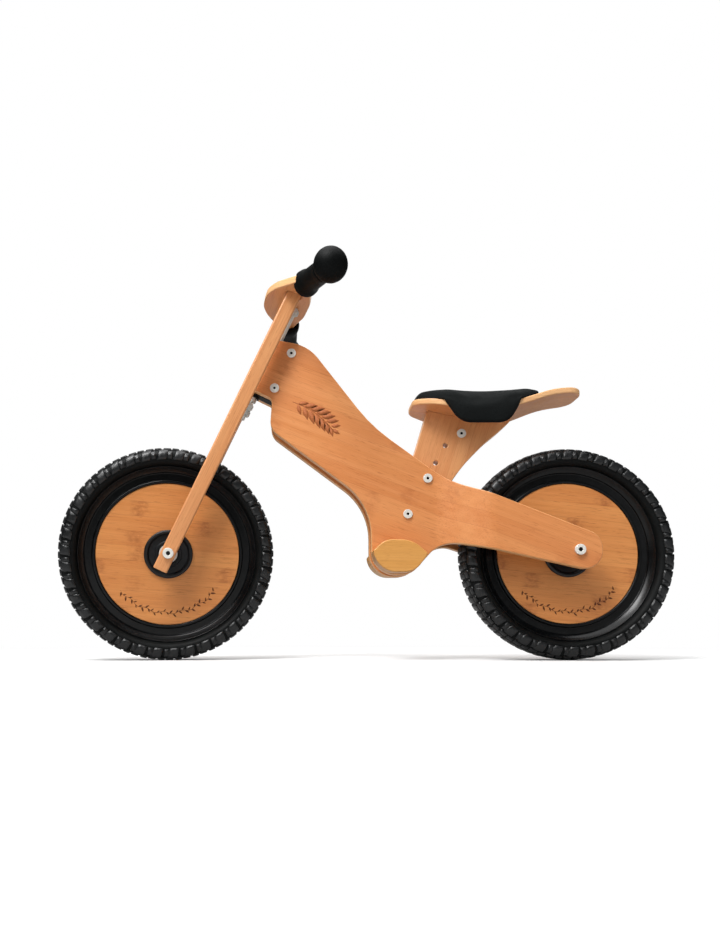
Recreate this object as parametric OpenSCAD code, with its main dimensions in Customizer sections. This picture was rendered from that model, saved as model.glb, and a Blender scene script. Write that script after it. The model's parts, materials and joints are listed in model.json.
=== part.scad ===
// Balance bike of bamboo plywood: two side plates, a plate handlebar, two covered 12 inch wheels.
// +Z up, the front wheel towards -X, the rider's left towards -Y, ground at z = 0.
// The origin is on the ground, midway between the wheel centres.

/* [Wheels] */
// distance between the wheel centres
wheelbase = 540; // [460:2:620]
// outer radius of the tyre
tyre_r = 143.5; // [120:0.5:160]
// full width of the tyre
tyre_w = 52; // [40:1:60]
// radius where the tyre sits on the rim
rim_r = 118; // [95:1:130]
// radius of the wooden wheel covers
cover_r = 95; // [70:1:105]
// thickness of the wooden wheel covers
cover_t = 5; // [3:0.5:8]
// outer radius of the hub rings over the covers
ring_r = 32.5; // [24:0.5:40]

/* [Frame] */
// thickness of each side plate
plate_t = 12; // [8:0.5:15]
// gap between the side plates at the head and seat post
plate_gap = 20; // [16:1:30]
// gap between the side plates at the rear wheel
tail_gap = 84; // [64:1:90]
// radius of the plates' round tail
tail_r = 27; // [20:1:34]
// how far the footrests stand out from the plates
step_out = 28; // [15:1:45]

/* [Steering] */
// angle of the fork legs and steering axis from vertical, degrees
fork_tilt = 25.2; // [15:0.2:32]
// distance of the steering axis behind the legs' centre line
axis_back = 9; // [4:0.5:16]
// angle the fork is turned to at rest, front wheel towards the rider's left, degrees
steer = 11; // [-35:1:35]
// fore and aft depth of a fork leg
leg_d = 19; // [14:0.5:26]
// sideways thickness of a fork leg
leg_t = 16; // [12:0.5:22]
// half the gap between the fork legs
leg_in = 34; // [30:0.5:44]
// height of the handlebar board above the front axle, along the legs
bar_h = 383; // [300:1:430]
// thickness of the handlebar board
bar_t = 11; // [8:0.5:16]
// distance from the middle of the bike to the centre of a grip's ball
grip_out = 161; // [130:1:190]
// radius of a grip's ball end
ball_r = 20.5; // [16:0.5:26]
// radius of a grip where it is held
grip_r = 15; // [11:0.5:18]

/* [Seat] */
// spacing of the height holes in the seat post
hole_pitch = 27.8; // [20:0.1:40]
// number of height holes
hole_n = 5; // [3:1:6]
// width of the seat post plate
post_w = 62; // [45:1:75]
// thickness of the seat board
seat_t = 8; // [5:0.5:12]
// half width of the seat board at its middle
seat_hw = 46; // [35:1:65]

/* [Hardware] */
// radius of the axles and the steering rod
axle_r = 4; // [3:0.5:6]
// radius of the plate bolts
bolt_r = 2.5; // [2:0.5:4]
// radius of the plate bolts' flat heads
head_r = 6.2; // [5:0.1:9]
// running clearance on radius, axle in bushing
run = 0.05; // [0.02:0.01:0.1]
// gap between parts that turn against each other
side_gap = 0.4; // [0.3:0.1:1]

/* [Hidden] */

bamboo = [0.83, 0.55, 0.31];
bamboo_dark = [0.74, 0.46, 0.2];
black = [0.07, 0.07, 0.08];
foam = [0.11, 0.12, 0.13];
cloth = [0.06, 0.07, 0.07];
steel = [0.78, 0.77, 0.74];
$fn = 96;

front_x = -wheelbase / 2;
rear_x = wheelbase / 2;
gap_in = plate_gap / 2;
tail_in = tail_gap / 2;
plate_out = gap_in + plate_t;
tail_out = tail_in + plate_t;
leg_out = leg_in + leg_t;
hole_r = bolt_r + 0.9;
sleeve_r = bolt_r + 0.7;
hub_w = 22;
hub_r = 14;
bush_r = 9;
washer_t = 2.5;
washer_r = 12;
crown_r = 19;

// The turned front wheel leans over a little, so its centre is lowered to keep the tyre on the ground.
lean = sin(steer) * sin(fork_tilt);
front_z = axis_back * (1 - cos(steer)) * sin(fork_tilt) + (tyre_r - crown_r) * sqrt(1 - lean * lean) + crown_r;

// Points in the fork's own frame: its z runs up the legs, its x points back, square to them.
function from_fork(x, z) = [
    front_x + x * cos(fork_tilt) + z * sin(fork_tilt),
    front_z - x * sin(fork_tilt) + z * cos(fork_tilt)
];

head_lo = 250;
head_hi = 327;
head_front = -3;
head_bolt_x = 35.5;
head_bolt_z = [264.6, 318.2];

// The row of height holes leans back; the first and third hole from the bottom hold the clamp bolts.
post_tilt = 29.4;
post_foot = [53.7, 195.2];
clamp_holes = [0, 2];
function post_hole(i) = post_foot + i * hole_pitch * [sin(post_tilt), cos(post_tilt)];
function along_post(s, side) = post_foot
    + s * [sin(post_tilt), cos(post_tilt)] + side * [cos(post_tilt), -sin(post_tilt)];
tie_hole = [130, 308.5];

// --- outlines -----------------------------------------------------------------------------------

// An outline of corners [x, y, radius], each rounded by an arc that meets both sides.
function unit(v) = v / norm(v);
function corner(a, b, c) = let (
    u = unit([a[0] - b[0], a[1] - b[1]]),
    v = unit([c[0] - b[0], c[1] - b[1]]),
    half = acos(max(-1, min(1, u * v))) / 2,
    m = [b[0], b[1]] + unit(u + v) * b[2] / sin(half),
    s = [b[0], b[1]] + u * b[2] / tan(half),
    e = [b[0], b[1]] + v * b[2] / tan(half),
    a0 = atan2(s[1] - m[1], s[0] - m[0]),
    turn = atan2(e[1] - m[1], e[0] - m[0]) - a0,
    sweep = turn > 180 ? turn - 360 : turn < -180 ? turn + 360 : turn,
    n = max(2, ceil(abs(sweep) / 6))
) [for (i = [0:n]) m + b[2] * [cos(a0 + sweep * i / n), sin(a0 + sweep * i / n)]];
function rounded(p) = [for (i = [0:len(p) - 1])
    each corner(p[(i + len(p) - 1) % len(p)], p[i], p[(i + 1) % len(p)])];

// A smooth curve through the points p, with n steps between each two.
function spline(p, n) = [
    for (i = [0:len(p) - 2]) let (
        a = p[max(0, i - 1)], b = p[i], c = p[i + 1], d = p[min(len(p) - 1, i + 2)]
    ) for (k = [0:n - 1]) let (t = k / n)
        0.5 * (2 * b + (c - a) * t + (2 * a - 5 * b + 4 * c - d) * t * t
            + (3 * b - a - 3 * c + d) * t * t * t),
    p[len(p) - 1]
];
function ease(t) = let (c = max(0, min(1, t))) c * c * (3 - 2 * c);

// --- helpers ------------------------------------------------------------------------------------

// Stands an outline drawn in x and z up, from y0 to y1.
module slab(y0, y1) {
    translate([0, y1, 0])
        rotate([90, 0, 0])
            linear_extrude(y1 - y0)
                children();
}

// A cylinder along y from y0 to y1, centred at [x, z].
module rod_y(p, r, y0, y1) {
    translate([p[0], y1, p[1]])
        rotate([90, 0, 0])
            cylinder(r = r, h = y1 - y0);
}

// Puts its children, drawn in the fork's frame, on the bike with the fork turned by a.
module fork_at(a) {
    translate([front_x, 0, front_z])
        rotate([0, fork_tilt, 0])
            translate([axis_back, 0, 0])
                rotate([0, 0, a])
                    translate([-axis_back, 0, 0])
                        children();
}

module wheel_at(front) {
    if (front) {
        fork_at(steer)
            children();
    } else {
        translate([rear_x, 0, tyre_r])
            children();
    }
}

module both_sides() {
    children();
    mirror([0, 1, 0])
        children();
}

// A flat-headed bolt along y with a hex socket; its head sits on the face at y = -out.
module flat_bolt(p, out, shank) {
    difference() {
        union() {
            rod_y(p, head_r, -out - 2.4, -out);
            rod_y(p, bolt_r, -out - 1, shank);
        }
        translate([p[0], -out - 3, p[1]])
            rotate([-90, 0, 0])
                cylinder(r = 2, h = 3.6, $fn = 6);
    }
}

// The sleeve nut that takes the bolt from the other side.
module sleeve_nut(p, out, depth) {
    difference() {
        union() {
            rod_y(p, head_r, out, out + 2.4);
            rod_y(p, sleeve_r, out - depth, out + 1);
        }
        rod_y(p, bolt_r + 0.05, out - depth - 1, out - 1);
    }
}

module hex_nut(r, h, bore) {
    difference() {
        cylinder(r = r, h = h, $fn = 6);
        translate([0, 0, -1])
            cylinder(r = bore, h = h + 2);
    }
}

// A countersunk wood screw pointing to +z, its head's flat face at z = 0.
module wood_screw(l, r) {
    difference() {
        union() {
            cylinder(r1 = 2 * r, r2 = r, h = 1.2 * r);
            cylinder(r = r, h = l - 2 * r);
            translate([0, 0, l - 2 * r])
                cylinder(r1 = r, r2 = 0.4, h = 2 * r);
        }
        translate([0, 0, -1])
            cylinder(r = 0.8 * r, h = 1 + 0.7 * r, $fn = 6);
    }
}

// The clear hole for such a screw, drawn past its head.
module screw_hole(l, r, past = 1) {
    translate([0, 0, -past])
        cylinder(r = 2 * r + 0.2, h = past);
    cylinder(r1 = 2 * r + 0.2, r2 = r + 0.2, h = 1.2 * r);
    cylinder(r = r + 0.2, h = l + 0.3);
}

// --- frame --------------------------------------------------------------------------------------

front_top = from_fork(head_front, head_hi - 3);
front_foot = from_fork(head_front, head_lo + 1);
function plate_outline() = rounded([
    [front_top[0], front_top[1], 5],
    [-79, 427, 55],
    [6, 316, 220],
    [114, 236, 200],
    [rear_x + 31, tyre_r + 18, tail_r - 3],
    [rear_x + 29, tyre_r - 30, tail_r - 4],
    [98, 159, 40],
    [57, 113.5, 29],
    [4.5, 113.5, 33],
    [5, 208.5, 85],
    [-131.5, 311.5, 22],
    [-128.5, 353, 8],
    [front_foot[0], front_foot[1], 4],
]);

// Half the gap between the plates at x: narrow ahead of bend_x, wide behind it.
bend_x = [post_hole(clamp_holes[1])[0] + head_r + 0.5, 166];
function half_gap(x) = gap_in + (tail_in - gap_in) * ease((x - bend_x[0]) / (bend_x[1] - bend_x[0]));
function bend_steps() = [for (i = [0:20]) bend_x[0] + (bend_x[1] - bend_x[0]) * i / 20];

module frame_plate() {
    difference() {
        intersection() {
            slab(-tail_out - 1, 0)
                polygon(plate_outline());
            linear_extrude(600)
                polygon([
                    [-200, -gap_in],
                    for (x = bend_steps()) [x, -half_gap(x)],
                    [rear_x + 60, -tail_in],
                    [rear_x + 60, -tail_out],
                    for (i = [20:-1:0]) [bend_steps()[i], -half_gap(bend_steps()[i]) - plate_t],
                    [-200, -plate_out],
                ]);
        }
        for (z = head_bolt_z) {
            rod_y(from_fork(head_bolt_x, z), hole_r, -40, 0);
        }
        for (i = clamp_holes) {
            rod_y(post_hole(i), hole_r, -60, 0);
        }
        rod_y([rear_x, tyre_r], axle_r + 0.1, -70, 0);
        for (p = step_screws) {
            translate([p[0], -gap_in, p[1]])
                rotate([90, 0, 0])
                    screw_hole(30, 2);
        }
    }
}

module frame_plate_left() {
    color(bamboo)
        frame_plate();
}

module frame_plate_right() {
    color(bamboo)
        mirror([0, 1, 0])
            frame_plate();
}

// The block between the plates that carries the steering rod in two flanged bushings.
module head_block() {
    color(black)
        difference() {
            fork_at(0)
                translate([head_front, -gap_in, head_lo])
                    cube([52, plate_gap, head_hi - head_lo - 3]);
            fork_at(0)
                translate([axis_back, 0, head_lo - 1])
                    cylinder(r = 7, h = head_hi - head_lo + 2);
            for (z = head_bolt_z) {
                rod_y(from_fork(head_bolt_x, z), hole_r, -20, 20);
            }
        }
}

module head_bushing() {
    difference() {
        union() {
            translate([0, 0, -3])
                cylinder(r = 9.5, h = 3);
            cylinder(r = 6.95, h = 14);
        }
        translate([0, 0, -4])
            cylinder(r = axle_r + run, h = 20);
    }
}

module head_bushings() {
    color(black)
        fork_at(0)
            translate([axis_back, 0, 0]) {
                translate([0, 0, head_lo])
                    head_bushing();
                translate([0, 0, head_hi - 3])
                    rotate([180, 0, 0])
                        head_bushing();
            }
}

module head_bolts() {
    color(steel)
        for (z = head_bolt_z) {
            flat_bolt(from_fork(head_bolt_x, z), plate_out, 18);
        }
}

module head_nuts() {
    color(steel)
        for (z = head_bolt_z) {
            sleeve_nut(from_fork(head_bolt_x, z), plate_out, 24);
        }
}

// The filler between the plates in the lobe that carries the footrests.
module frame_spacer() {
    color(bamboo_dark)
        slab(-gap_in, gap_in)
            polygon(rounded([[18, 148, 6], [66, 148, 6], [56, 124, 14], [22, 124, 14]]));
}

// Footrests: blocks with a lens outline on the outer face of each plate.
step_screws = [[24, 138], [54, 138]];
module footrest() {
    difference() {
        slab(-plate_out - step_out, -plate_out)
            polygon(rounded([
                [4.5, 143, 4], [20, 158, 26], [56, 157, 36], [76, 139, 3],
                [58, 115, 26], [9, 115, 30],
            ]));
        for (p = step_screws) {
            translate([p[0], -gap_in, p[1]])
                rotate([90, 0, 0])
                    screw_hole(30, 2);
        }
    }
}

module footrest_left() {
    color(bamboo_dark)
        footrest();
}

module footrest_right() {
    color(bamboo_dark)
        mirror([0, 1, 0])
            footrest();
}

module footrest_screws() {
    color(steel)
        both_sides()
            for (p = step_screws) {
                translate([p[0], -gap_in - 0.2, p[1]])
                    rotate([90, 0, 0])
                        wood_screw(28, 2);
            }
}

// --- seat ---------------------------------------------------------------------------------------

seat_tail = 291.5;
// The top of the seat board: a dip where the rider sits and a raised tail.
seat_line = spline([[62, 352], [84, 348.5], [112, 342.5], [150, 339], [186, 341.5], [214, 350],
    [244, 360.5], [268, 365], [seat_tail, 366]], 5);

module seat_post() {
    color(bamboo)
        difference() {
            slab(-gap_in, gap_in)
                polygon(concat(
                    rounded_part([
                        [along_post(-24, post_w / 2)[0], along_post(-24, post_w / 2)[1], 10],
                        [along_post(-24, -post_w / 2)[0], along_post(-24, -post_w / 2)[1], 10],
                        [along_post(80, -post_w / 2)[0], along_post(80, -post_w / 2)[1], 40],
                    ]),
                    [for (q = seat_line) if (q[0] > 83 && q[0] < 201) [q[0], q[1] - seat_t]],
                    spline([[200, 334.5], [197, 326], [189, 318], [177, 307.5], [162.5, 295.5], [144, 277],
                        [130.5, 262], along_post(70, post_w / 2), along_post(40, post_w / 2)], 5)
                ));
            for (i = [0:hole_n - 1]) {
                rod_y(post_hole(i), hole_r, -20, 20);
            }
            rod_y(tie_hole, hole_r, -20, 20);
            seat_screw_place()
                screw_hole(40, 2, 4);
        }
}

// The first corners of an outline that goes on beyond them.
function rounded_part(p) = [
    each corner(along_post(40, post_w / 2), p[0], p[1]),
    each corner(p[0], p[1], p[2]),
    each corner(p[1], p[2], [84, 345]),
];

function seat_top(x) = lookup(x, seat_line);
seat_screw_x = [104, 152];

module seat_bolts() {
    color(steel)
        for (i = clamp_holes) {
            flat_bolt(post_hole(i), half_gap(post_hole(i)[0]) + plate_t, 18);
        }
}

module seat_nuts() {
    color(steel)
        for (i = clamp_holes) {
            sleeve_nut(post_hole(i), half_gap(post_hole(i)[0]) + plate_t, 24);
        }
}

module seat_tie_bolt() {
    color(steel)
        flat_bolt(tie_hole, gap_in, 6);
}

module seat_tie_nut() {
    color(steel)
        sleeve_nut(tie_hole, gap_in, 14);
}

// The screws' heads are sunk a little into the curved board.
module seat_screw_place() {
    for (x = seat_screw_x) {
        translate([x, 0, seat_top(x) - 1.2])
            rotate([180, 0, 0])
                children();
    }
}

module seat_screws() {
    color(steel)
        seat_screw_place()
            translate([0, 0, 0.1])
                wood_screw(38, 2);
}

// The board seen from above: round nose and tail, widest in the middle.
function seat_plan(grow) = rounded([
    [62 - grow, -24 - grow, 20 + grow],
    [98, -seat_hw - 2 - grow, 70],
    [190, -seat_hw - 2 - grow, 90],
    [seat_tail + grow, -30 - grow, 24 + grow],
    [seat_tail + grow, 30 + grow, 24 + grow],
    [190, seat_hw + 2 + grow, 90],
    [98, seat_hw + 2 + grow, 70],
    [62 - grow, 24 + grow, 20 + grow],
]);

module seat_board() {
    color(bamboo)
        difference() {
            intersection() {
                slab(-100, 100)
                    polygon([
                        for (q = seat_line) q,
                        for (i = [len(seat_line) - 1:-1:0]) [seat_line[i][0], seat_line[i][1] - seat_t],
                    ]);
                linear_extrude(500)
                    polygon(seat_plan(0));
            }
            seat_screw_place()
                screw_hole(40, 2, 4);
        }
}

// The cushion lies on the board and hangs down over both its edges as rounded flaps.
pad_line = spline([[63.5, 352.5], [66.5, 359.5], [73, 365.5], [86, 367], [105, 365.5], [130, 361.5],
    [160, 360.5], [190, 364], [208, 368], [219, 369], [226, 366.5], [229.5, 360]], 5);
flap_out = seat_hw + 9;
flap_in = seat_hw + 5;

module seat_cushion() {
    color(cloth)
        union() {
            intersection() {
                slab(-100, 100)
                    polygon([
                        for (q = pad_line) q,
                        for (i = [len(seat_line) - 1:-1:0])
                            if (seat_line[i][0] > 65 && seat_line[i][0] < 228.5)
                                [seat_line[i][0], seat_line[i][1] + 0.1],
                    ]);
                linear_extrude(500)
                    polygon(seat_plan(-3));
            }
            both_sides()
                difference() {
                    slab(-flap_out, -seat_hw + 12)
                        polygon(rounded([
                            [94, 352, 3], [203, 353, 3], [199, 337, 20], [183, 311, 24],
                            [119, 311, 26], [103, 338, 30],
                        ]));
                    slab(-flap_in, -seat_hw + 13)
                        polygon([
                            [80, 290], [220, 290],
                            for (i = [len(seat_line) - 1:-1:0])
                                if (seat_line[i][0] > 79 && seat_line[i][0] < 221)
                                    [seat_line[i][0], seat_line[i][1] + 0.1],
                        ]);
                }
        }
}

// --- fork and handlebar -------------------------------------------------------------------------

board_turn = -14;
board_mid = [-4, bar_h];

// Places its children on the handlebar board: x runs back along it, z is square to its underside.
module on_board() {
    translate([board_mid[0], 0, board_mid[1]])
        rotate([0, board_turn, 0])
            children();
}

module fork_leg() {
    difference() {
        translate([0, -leg_in - leg_t / 2, 0])
            intersection() {
                translate([0, 0, -24.5])
                    linear_extrude(bar_h + 24.5 + 20)
                        polygon(rounded([
                            [-leg_d / 2, -leg_t / 2, 2.5], [leg_d / 2, -leg_t / 2, 2.5],
                            [leg_d / 2, leg_t / 2, 2.5], [-leg_d / 2, leg_t / 2, 2.5],
                        ]));
                rotate([90, 0, 0])
                    translate([0, 0, -leg_t])
                        linear_extrude(2 * leg_t)
                            polygon(rounded([
                                [-leg_d / 2 - 1, -24.5, 3], [leg_d / 2 + 1, -24.5, 3],
                                [leg_d / 2 + 1, bar_h + 4.5 + bar_t, 0.5],
                                [-leg_d / 2 - 1, bar_h - 0.8 + bar_t, 0.5],
                            ]));
            }
        rod_y([0, 0], axle_r + 0.1, -leg_out - 1, 0);
        leg_screw_place()
            screw_hole(44, 2.2, 6);
        bracket_screw_place()
            screw_hole(14, 1.6);
    }
}

module fork_leg_left() {
    color(bamboo)
        fork_at(steer)
            fork_leg();
}

module fork_leg_right() {
    color(bamboo)
        fork_at(steer)
            mirror([0, 1, 0])
                fork_leg();
}

// One screw goes down into each leg from its top.
module leg_screw_place() {
    translate([0.4, -leg_in - leg_t / 2, bar_h + bar_t + 0.2])
        rotate([180, 0, 0])
            children();
}

module leg_screws() {
    color(steel)
        fork_at(steer)
            both_sides()
                leg_screw_place()
                    translate([0, 0, 0.1])
                        wood_screw(40, 2.2);
}

function board_outline() = rounded([
    [-30.5, -21, 80], [-21.5, -47, 75], [5, -88, 4], [21, -88, 4], [24, -58, 120], [30.5, -24, 90],
    [30.5, 24, 90], [24, 58, 120], [21, 88, 4], [5, 88, 4], [-21.5, 47, 75], [-30.5, 21, 80],
]);

module handlebar_board() {
    color(bamboo)
        fork_at(steer)
            difference() {
                on_board()
                    linear_extrude(bar_t)
                        polygon(board_outline());
                both_sides()
                    translate([0, -leg_in - leg_t / 2, bar_h - 30])
                        linear_extrude(60)
                            polygon(rounded([
                                [-leg_d / 2 - 0.4, -leg_t / 2 - 0.4, 3], [leg_d / 2 + 0.4, -leg_t / 2 - 0.4, 3],
                                [leg_d / 2 + 0.4, leg_t / 2 + 0.4, 3], [-leg_d / 2 - 0.4, leg_t / 2 + 0.4, 3],
                            ]));
                translate([axis_back, 0, bar_h - 40])
                    cylinder(r = axle_r + 0.1, h = 80);
                translate([axis_back, 0, cap_z])
                    cylinder(r = 10.4, h = 20);
            }
}

// The pegs hold the grips: each is slotted over the end of the board.
peg_r = 9;
peg_from = [12.5, -66, bar_t / 2 + 0.7];
peg_sweep = 10.3;
peg_drop = 6;
peg_len = (grip_out - 66) / (cos(peg_sweep) * cos(peg_drop));

// z runs out along the peg, from its inner end.
module on_peg() {
    on_board()
        translate(peg_from)
            rotate([90 + peg_drop, 0, peg_sweep])
                children();
}

module bar_peg() {
    difference() {
        on_peg()
            cylinder(r = peg_r, h = peg_len);
        on_board()
            translate([0, 0, -0.1])
                linear_extrude(bar_t + 0.2)
                    polygon(rounded([
                        [4.8, -88.2, 4], [21.2, -88.2, 4], [40, -20, 4], [-40, -20, 4],
                    ]));
    }
}

module bar_peg_left() {
    color(bamboo_dark)
        fork_at(steer)
            bar_peg();
}

module bar_peg_right() {
    color(bamboo_dark)
        fork_at(steer)
            mirror([0, 1, 0])
                bar_peg();
}

// The grip is turned: a rounded inner end, a straight hold and a ball that closes the outer end.
function ball_arc() = [for (a = [140:-10:0]) [ball_r * sin(a), peg_len + ball_r * cos(a)]];
module grip() {
    on_peg()
        difference() {
            rotate_extrude()
                polygon([
                    [0, 4], [grip_r - 1.5, 4], [grip_r + 1, 6], [grip_r + 2, 10], [grip_r + 1.6, 16],
                    [grip_r + 0.3, 22], [grip_r - 0.8, 30], [grip_r - 1.2, peg_len - 34],
                    [grip_r - 0.6, peg_len - 26], [grip_r - 0.1, peg_len - 20],
                    for (q = ball_arc()) q,
                ]);
            translate([0, 0, -1])
                cylinder(r = peg_r + 0.1, h = peg_len + 1.1);
        }
}

module grip_solid() {
    difference() {
        grip();
        on_board()
            translate([0, 0, -0.2])
                linear_extrude(bar_t + 0.4)
                    polygon([[4.6, -88.4], [21.4, -88.4], [34, -60], [-28, -60]]);
    }
}

module grip_left() {
    color(black)
        fork_at(steer)
            grip_solid();
}

module grip_right() {
    color(black)
        fork_at(steer)
            mirror([0, 1, 0])
                grip_solid();
}

// The threaded rod joins the board, the head block's bushings and the lower bracket.
bracket_z = 226;
nut_h = 6.5;
rod_nut_z = [
    bracket_z - nut_h - 0.1, bracket_z + 3.6, head_lo - 3 - side_gap - nut_h,
    head_hi + side_gap, bar_h - nut_h + 1.3,
];
module steering_rod() {
    color(steel)
        fork_at(steer)
            translate([axis_back, 0, bracket_z - 14])
                cylinder(r = axle_r, h = cap_z + 5 - bracket_z + 14);
}

module rod_nuts() {
    color(steel)
        fork_at(steer)
            translate([axis_back, 0, 0])
                for (z = rod_nut_z) {
                    translate([0, 0, z])
                        hex_nut(7.4, nut_h, axle_r + 0.02);
                }
}

// A flat seat cut into the sloping top of the board takes the cap's washer.
cap_z = bar_h + bar_t + 1.2;
module rod_cap() {
    color(steel)
        fork_at(steer)
            translate([axis_back, 0, cap_z])
                difference() {
                    union() {
                        cylinder(r = 10, h = 1.6);
                        cylinder(r = 7.4, h = 6, $fn = 6);
                        intersection() {
                            translate([0, 0, 4])
                                sphere(r = 6.2);
                            cylinder(r = 8, h = 12);
                        }
                    }
                    translate([0, 0, -1])
                        cylinder(r = axle_r + 0.02, h = 8);
                }
}

// A folded steel strap ties the legs together under the head.
module lower_bracket() {
    color(steel)
        fork_at(steer)
            difference() {
                union() {
                    translate([-8, -leg_in, bracket_z])
                        cube([23, 2 * leg_in, 3.5]);
                    both_sides()
                        translate([-8, -leg_in, bracket_z - 36])
                            cube([16, 3, 38]);
                }
                translate([axis_back, 0, bracket_z - 1])
                    cylinder(r = axle_r + 0.1, h = 6);
                both_sides()
                    bracket_screw_place()
                        screw_hole(14, 1.6);
            }
}

// Screws go from the strap's inner faces into the legs.
module bracket_screw_place() {
    for (z = [bracket_z - 28, bracket_z - 12]) {
        translate([0, -leg_in + 3, z])
            rotate([90, 0, 0])
                children();
    }
}

module bracket_screws() {
    color(steel)
        fork_at(steer)
            both_sides()
                bracket_screw_place()
                    translate([0, 0, 0.1])
                        wood_screw(13, 1.6);
}

// --- axles --------------------------------------------------------------------------------------

// An axle bolt: its head is outside the left support, whose outer face is at y = -out.
module axle_bolt(out) {
    difference() {
        union() {
            rod_y([0, 0], 7, -out - 4, -out);
            rod_y([0, 0], axle_r, -out - 1, out + 7.5);
        }
        translate([0, -out - 5, 0])
            rotate([-90, 0, 0])
                cylinder(r = 3, h = 4, $fn = 6);
    }
}

module axle_nut(out) {
    translate([0, out, 0])
        rotate([-90, 0, 0])
            hex_nut(7.5, 6, axle_r + 0.02);
}

// Washers lie against the inner faces of the supports, whose gap is 2 * reach.
module axle_washers(reach) {
    both_sides()
        difference() {
            rod_y([0, 0], washer_r, -reach, -reach + washer_t);
            rod_y([0, 0], axle_r + 0.1, -reach - 1, -reach + washer_t + 1);
        }
}

module axle_spacers(reach) {
    both_sides()
        difference() {
            rod_y([0, 0], 7, -reach + washer_t, -hub_w - side_gap);
            rod_y([0, 0], axle_r + 0.1, -reach, 0);
        }
}

module front_axle_bolt() {
    color(steel)
        wheel_at(true)
            axle_bolt(leg_out);
}

module front_axle_nut() {
    color(steel)
        wheel_at(true)
            axle_nut(leg_out);
}

module front_washers() {
    color(steel)
        wheel_at(true)
            axle_washers(leg_in);
}

module front_spacers() {
    color(black)
        wheel_at(true)
            axle_spacers(leg_in);
}

module rear_axle_bolt() {
    color(steel)
        wheel_at(false)
            axle_bolt(tail_out);
}

module rear_axle_nut() {
    color(steel)
        wheel_at(false)
            axle_nut(tail_out);
}

module rear_washers() {
    color(steel)
        wheel_at(false)
            axle_washers(tail_in);
}

module rear_spacers() {
    color(black)
        wheel_at(false)
            axle_spacers(tail_in);
}

// --- wheels -------------------------------------------------------------------------------------

// Turns a profile of [radius, y] points about the axle.
module turned() {
    rotate([-90, 0, 0])
        rotate_extrude($fn = 144)
            children();
}

function mirrored(p) = concat(p, [for (i = [len(p) - 1:-1:0]) [p[i][0], -p[i][1]]]);

// Tyre: a flat bead on the rim and a full round section that ends at the tread.
bead_w = 16;
wide_r = 128;
function tyre_side() = [
    [rim_r, 0],
    [rim_r, bead_w],
    for (a = [-60:15:0]) [
        wide_r + (wide_r - rim_r) * sin(a) * 0.9, bead_w + (tyre_w / 2 - bead_w) * cos(a)
    ],
    for (a = [6:6:84]) [
        wide_r + (tyre_r - wide_r) * pow(sin(a), 0.72), tyre_w / 2 * pow(cos(a), 0.72)
    ],
    [tyre_r, 0],
];

module tyre() {
    turned()
        polygon(mirrored([for (i = [1:len(tyre_side()) - 2]) tyre_side()[i]]));
}

// Rim: hub tube, web, a shelf under each cover and the dished ring outside it.
cover_in = 7;
function rim_side() = [
    [bush_r - 3, 0],
    [bush_r - 3, 12],
    [bush_r, 12],
    [bush_r, hub_w],
    [hub_r, hub_w],
    [hub_r, cover_in],
    [26, cover_in],
    [26, 3.5],
    [cover_r - 8, 3.5],
    [cover_r - 8, cover_in],
    [cover_r + 0.4, cover_in],
    [cover_r + 0.4, cover_in + cover_t + 0.8],
    [cover_r + 1.4, cover_in + cover_t + 1.6],
    [cover_r + 3.4, cover_in + cover_t + 1.6],
    [cover_r + 4.4, cover_in + cover_t + 0.8],
    [cover_r + 5.4, cover_in + 2],
    [rim_r - 9, cover_in + 2],
    [rim_r - 8, cover_in + 3],
    [rim_r - 7.6, bead_w - 5],
    [rim_r - 6.8, bead_w - 4.6],
    [rim_r - 3.4, bead_w - 1.6],
    [rim_r - 1.4, bead_w + 1],
    [rim_r - 0.6, bead_w + 1.4],
    [rim_r - 0.1, bead_w],
    [rim_r - 0.1, 0],
];

module rim() {
    turned()
        polygon(mirrored([for (i = [0:len(rim_side()) - 1])
            if (rim_side()[i][1] > 0) rim_side()[i]]));
}

module cover() {
    turned()
        polygon([
            [hub_r + 0.3, -cover_in], [cover_r, -cover_in],
            [cover_r, -cover_in - cover_t + 0.5], [cover_r - 0.5, -cover_in - cover_t],
            [hub_r + 0.3, -cover_in - cover_t],
        ]);
}

// Hub rings clamp the covers: a rounded lip round a shallow dish.
module hub_ring() {
    face = -cover_in - cover_t;
    turned()
        polygon([
            [hub_r + 0.1, face], [ring_r, face], [ring_r, face - 1.6],
            for (a = [0:30:180]) [ring_r - 3 + 3 * cos(a), face - 1.6 - 2.4 * sin(a)],
            [ring_r - 7, face - 1], [hub_r + 4, face - 1], [hub_r + 3, face - 4],
            [hub_r + 0.1, face - 4],
        ]);
}

module hub_rings() {
    both_sides()
        hub_ring();
}

// Plain flanged bushings pressed into both ends of the hub tube.
module bushings() {
    both_sides()
        difference() {
            rod_y([0, 0], bush_r - 0.05, -hub_w, -12.2);
            rod_y([0, 0], axle_r + run, -hub_w - 1, -11);
        }
}

module front_tyre() {
    color(foam)
        wheel_at(true)
            tyre();
}

module front_rim() {
    color(black)
        wheel_at(true)
            rim();
}

module front_cover_left() {
    color(bamboo)
        wheel_at(true)
            cover();
}

module front_cover_right() {
    color(bamboo)
        wheel_at(true)
            mirror([0, 1, 0])
                cover();
}

module front_hub_rings() {
    color(black)
        wheel_at(true)
            hub_rings();
}

module front_bushings() {
    color(steel)
        wheel_at(true)
            bushings();
}

module rear_tyre() {
    color(foam)
        wheel_at(false)
            tyre();
}

module rear_rim() {
    color(black)
        wheel_at(false)
            rim();
}

module rear_cover_left() {
    color(bamboo)
        wheel_at(false)
            cover();
}

module rear_cover_right() {
    color(bamboo)
        wheel_at(false)
            mirror([0, 1, 0])
                cover();
}

module rear_hub_rings() {
    color(black)
        wheel_at(false)
            hub_rings();
}

module rear_bushings() {
    color(steel)
        wheel_at(false)
            bushings();
}

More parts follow.
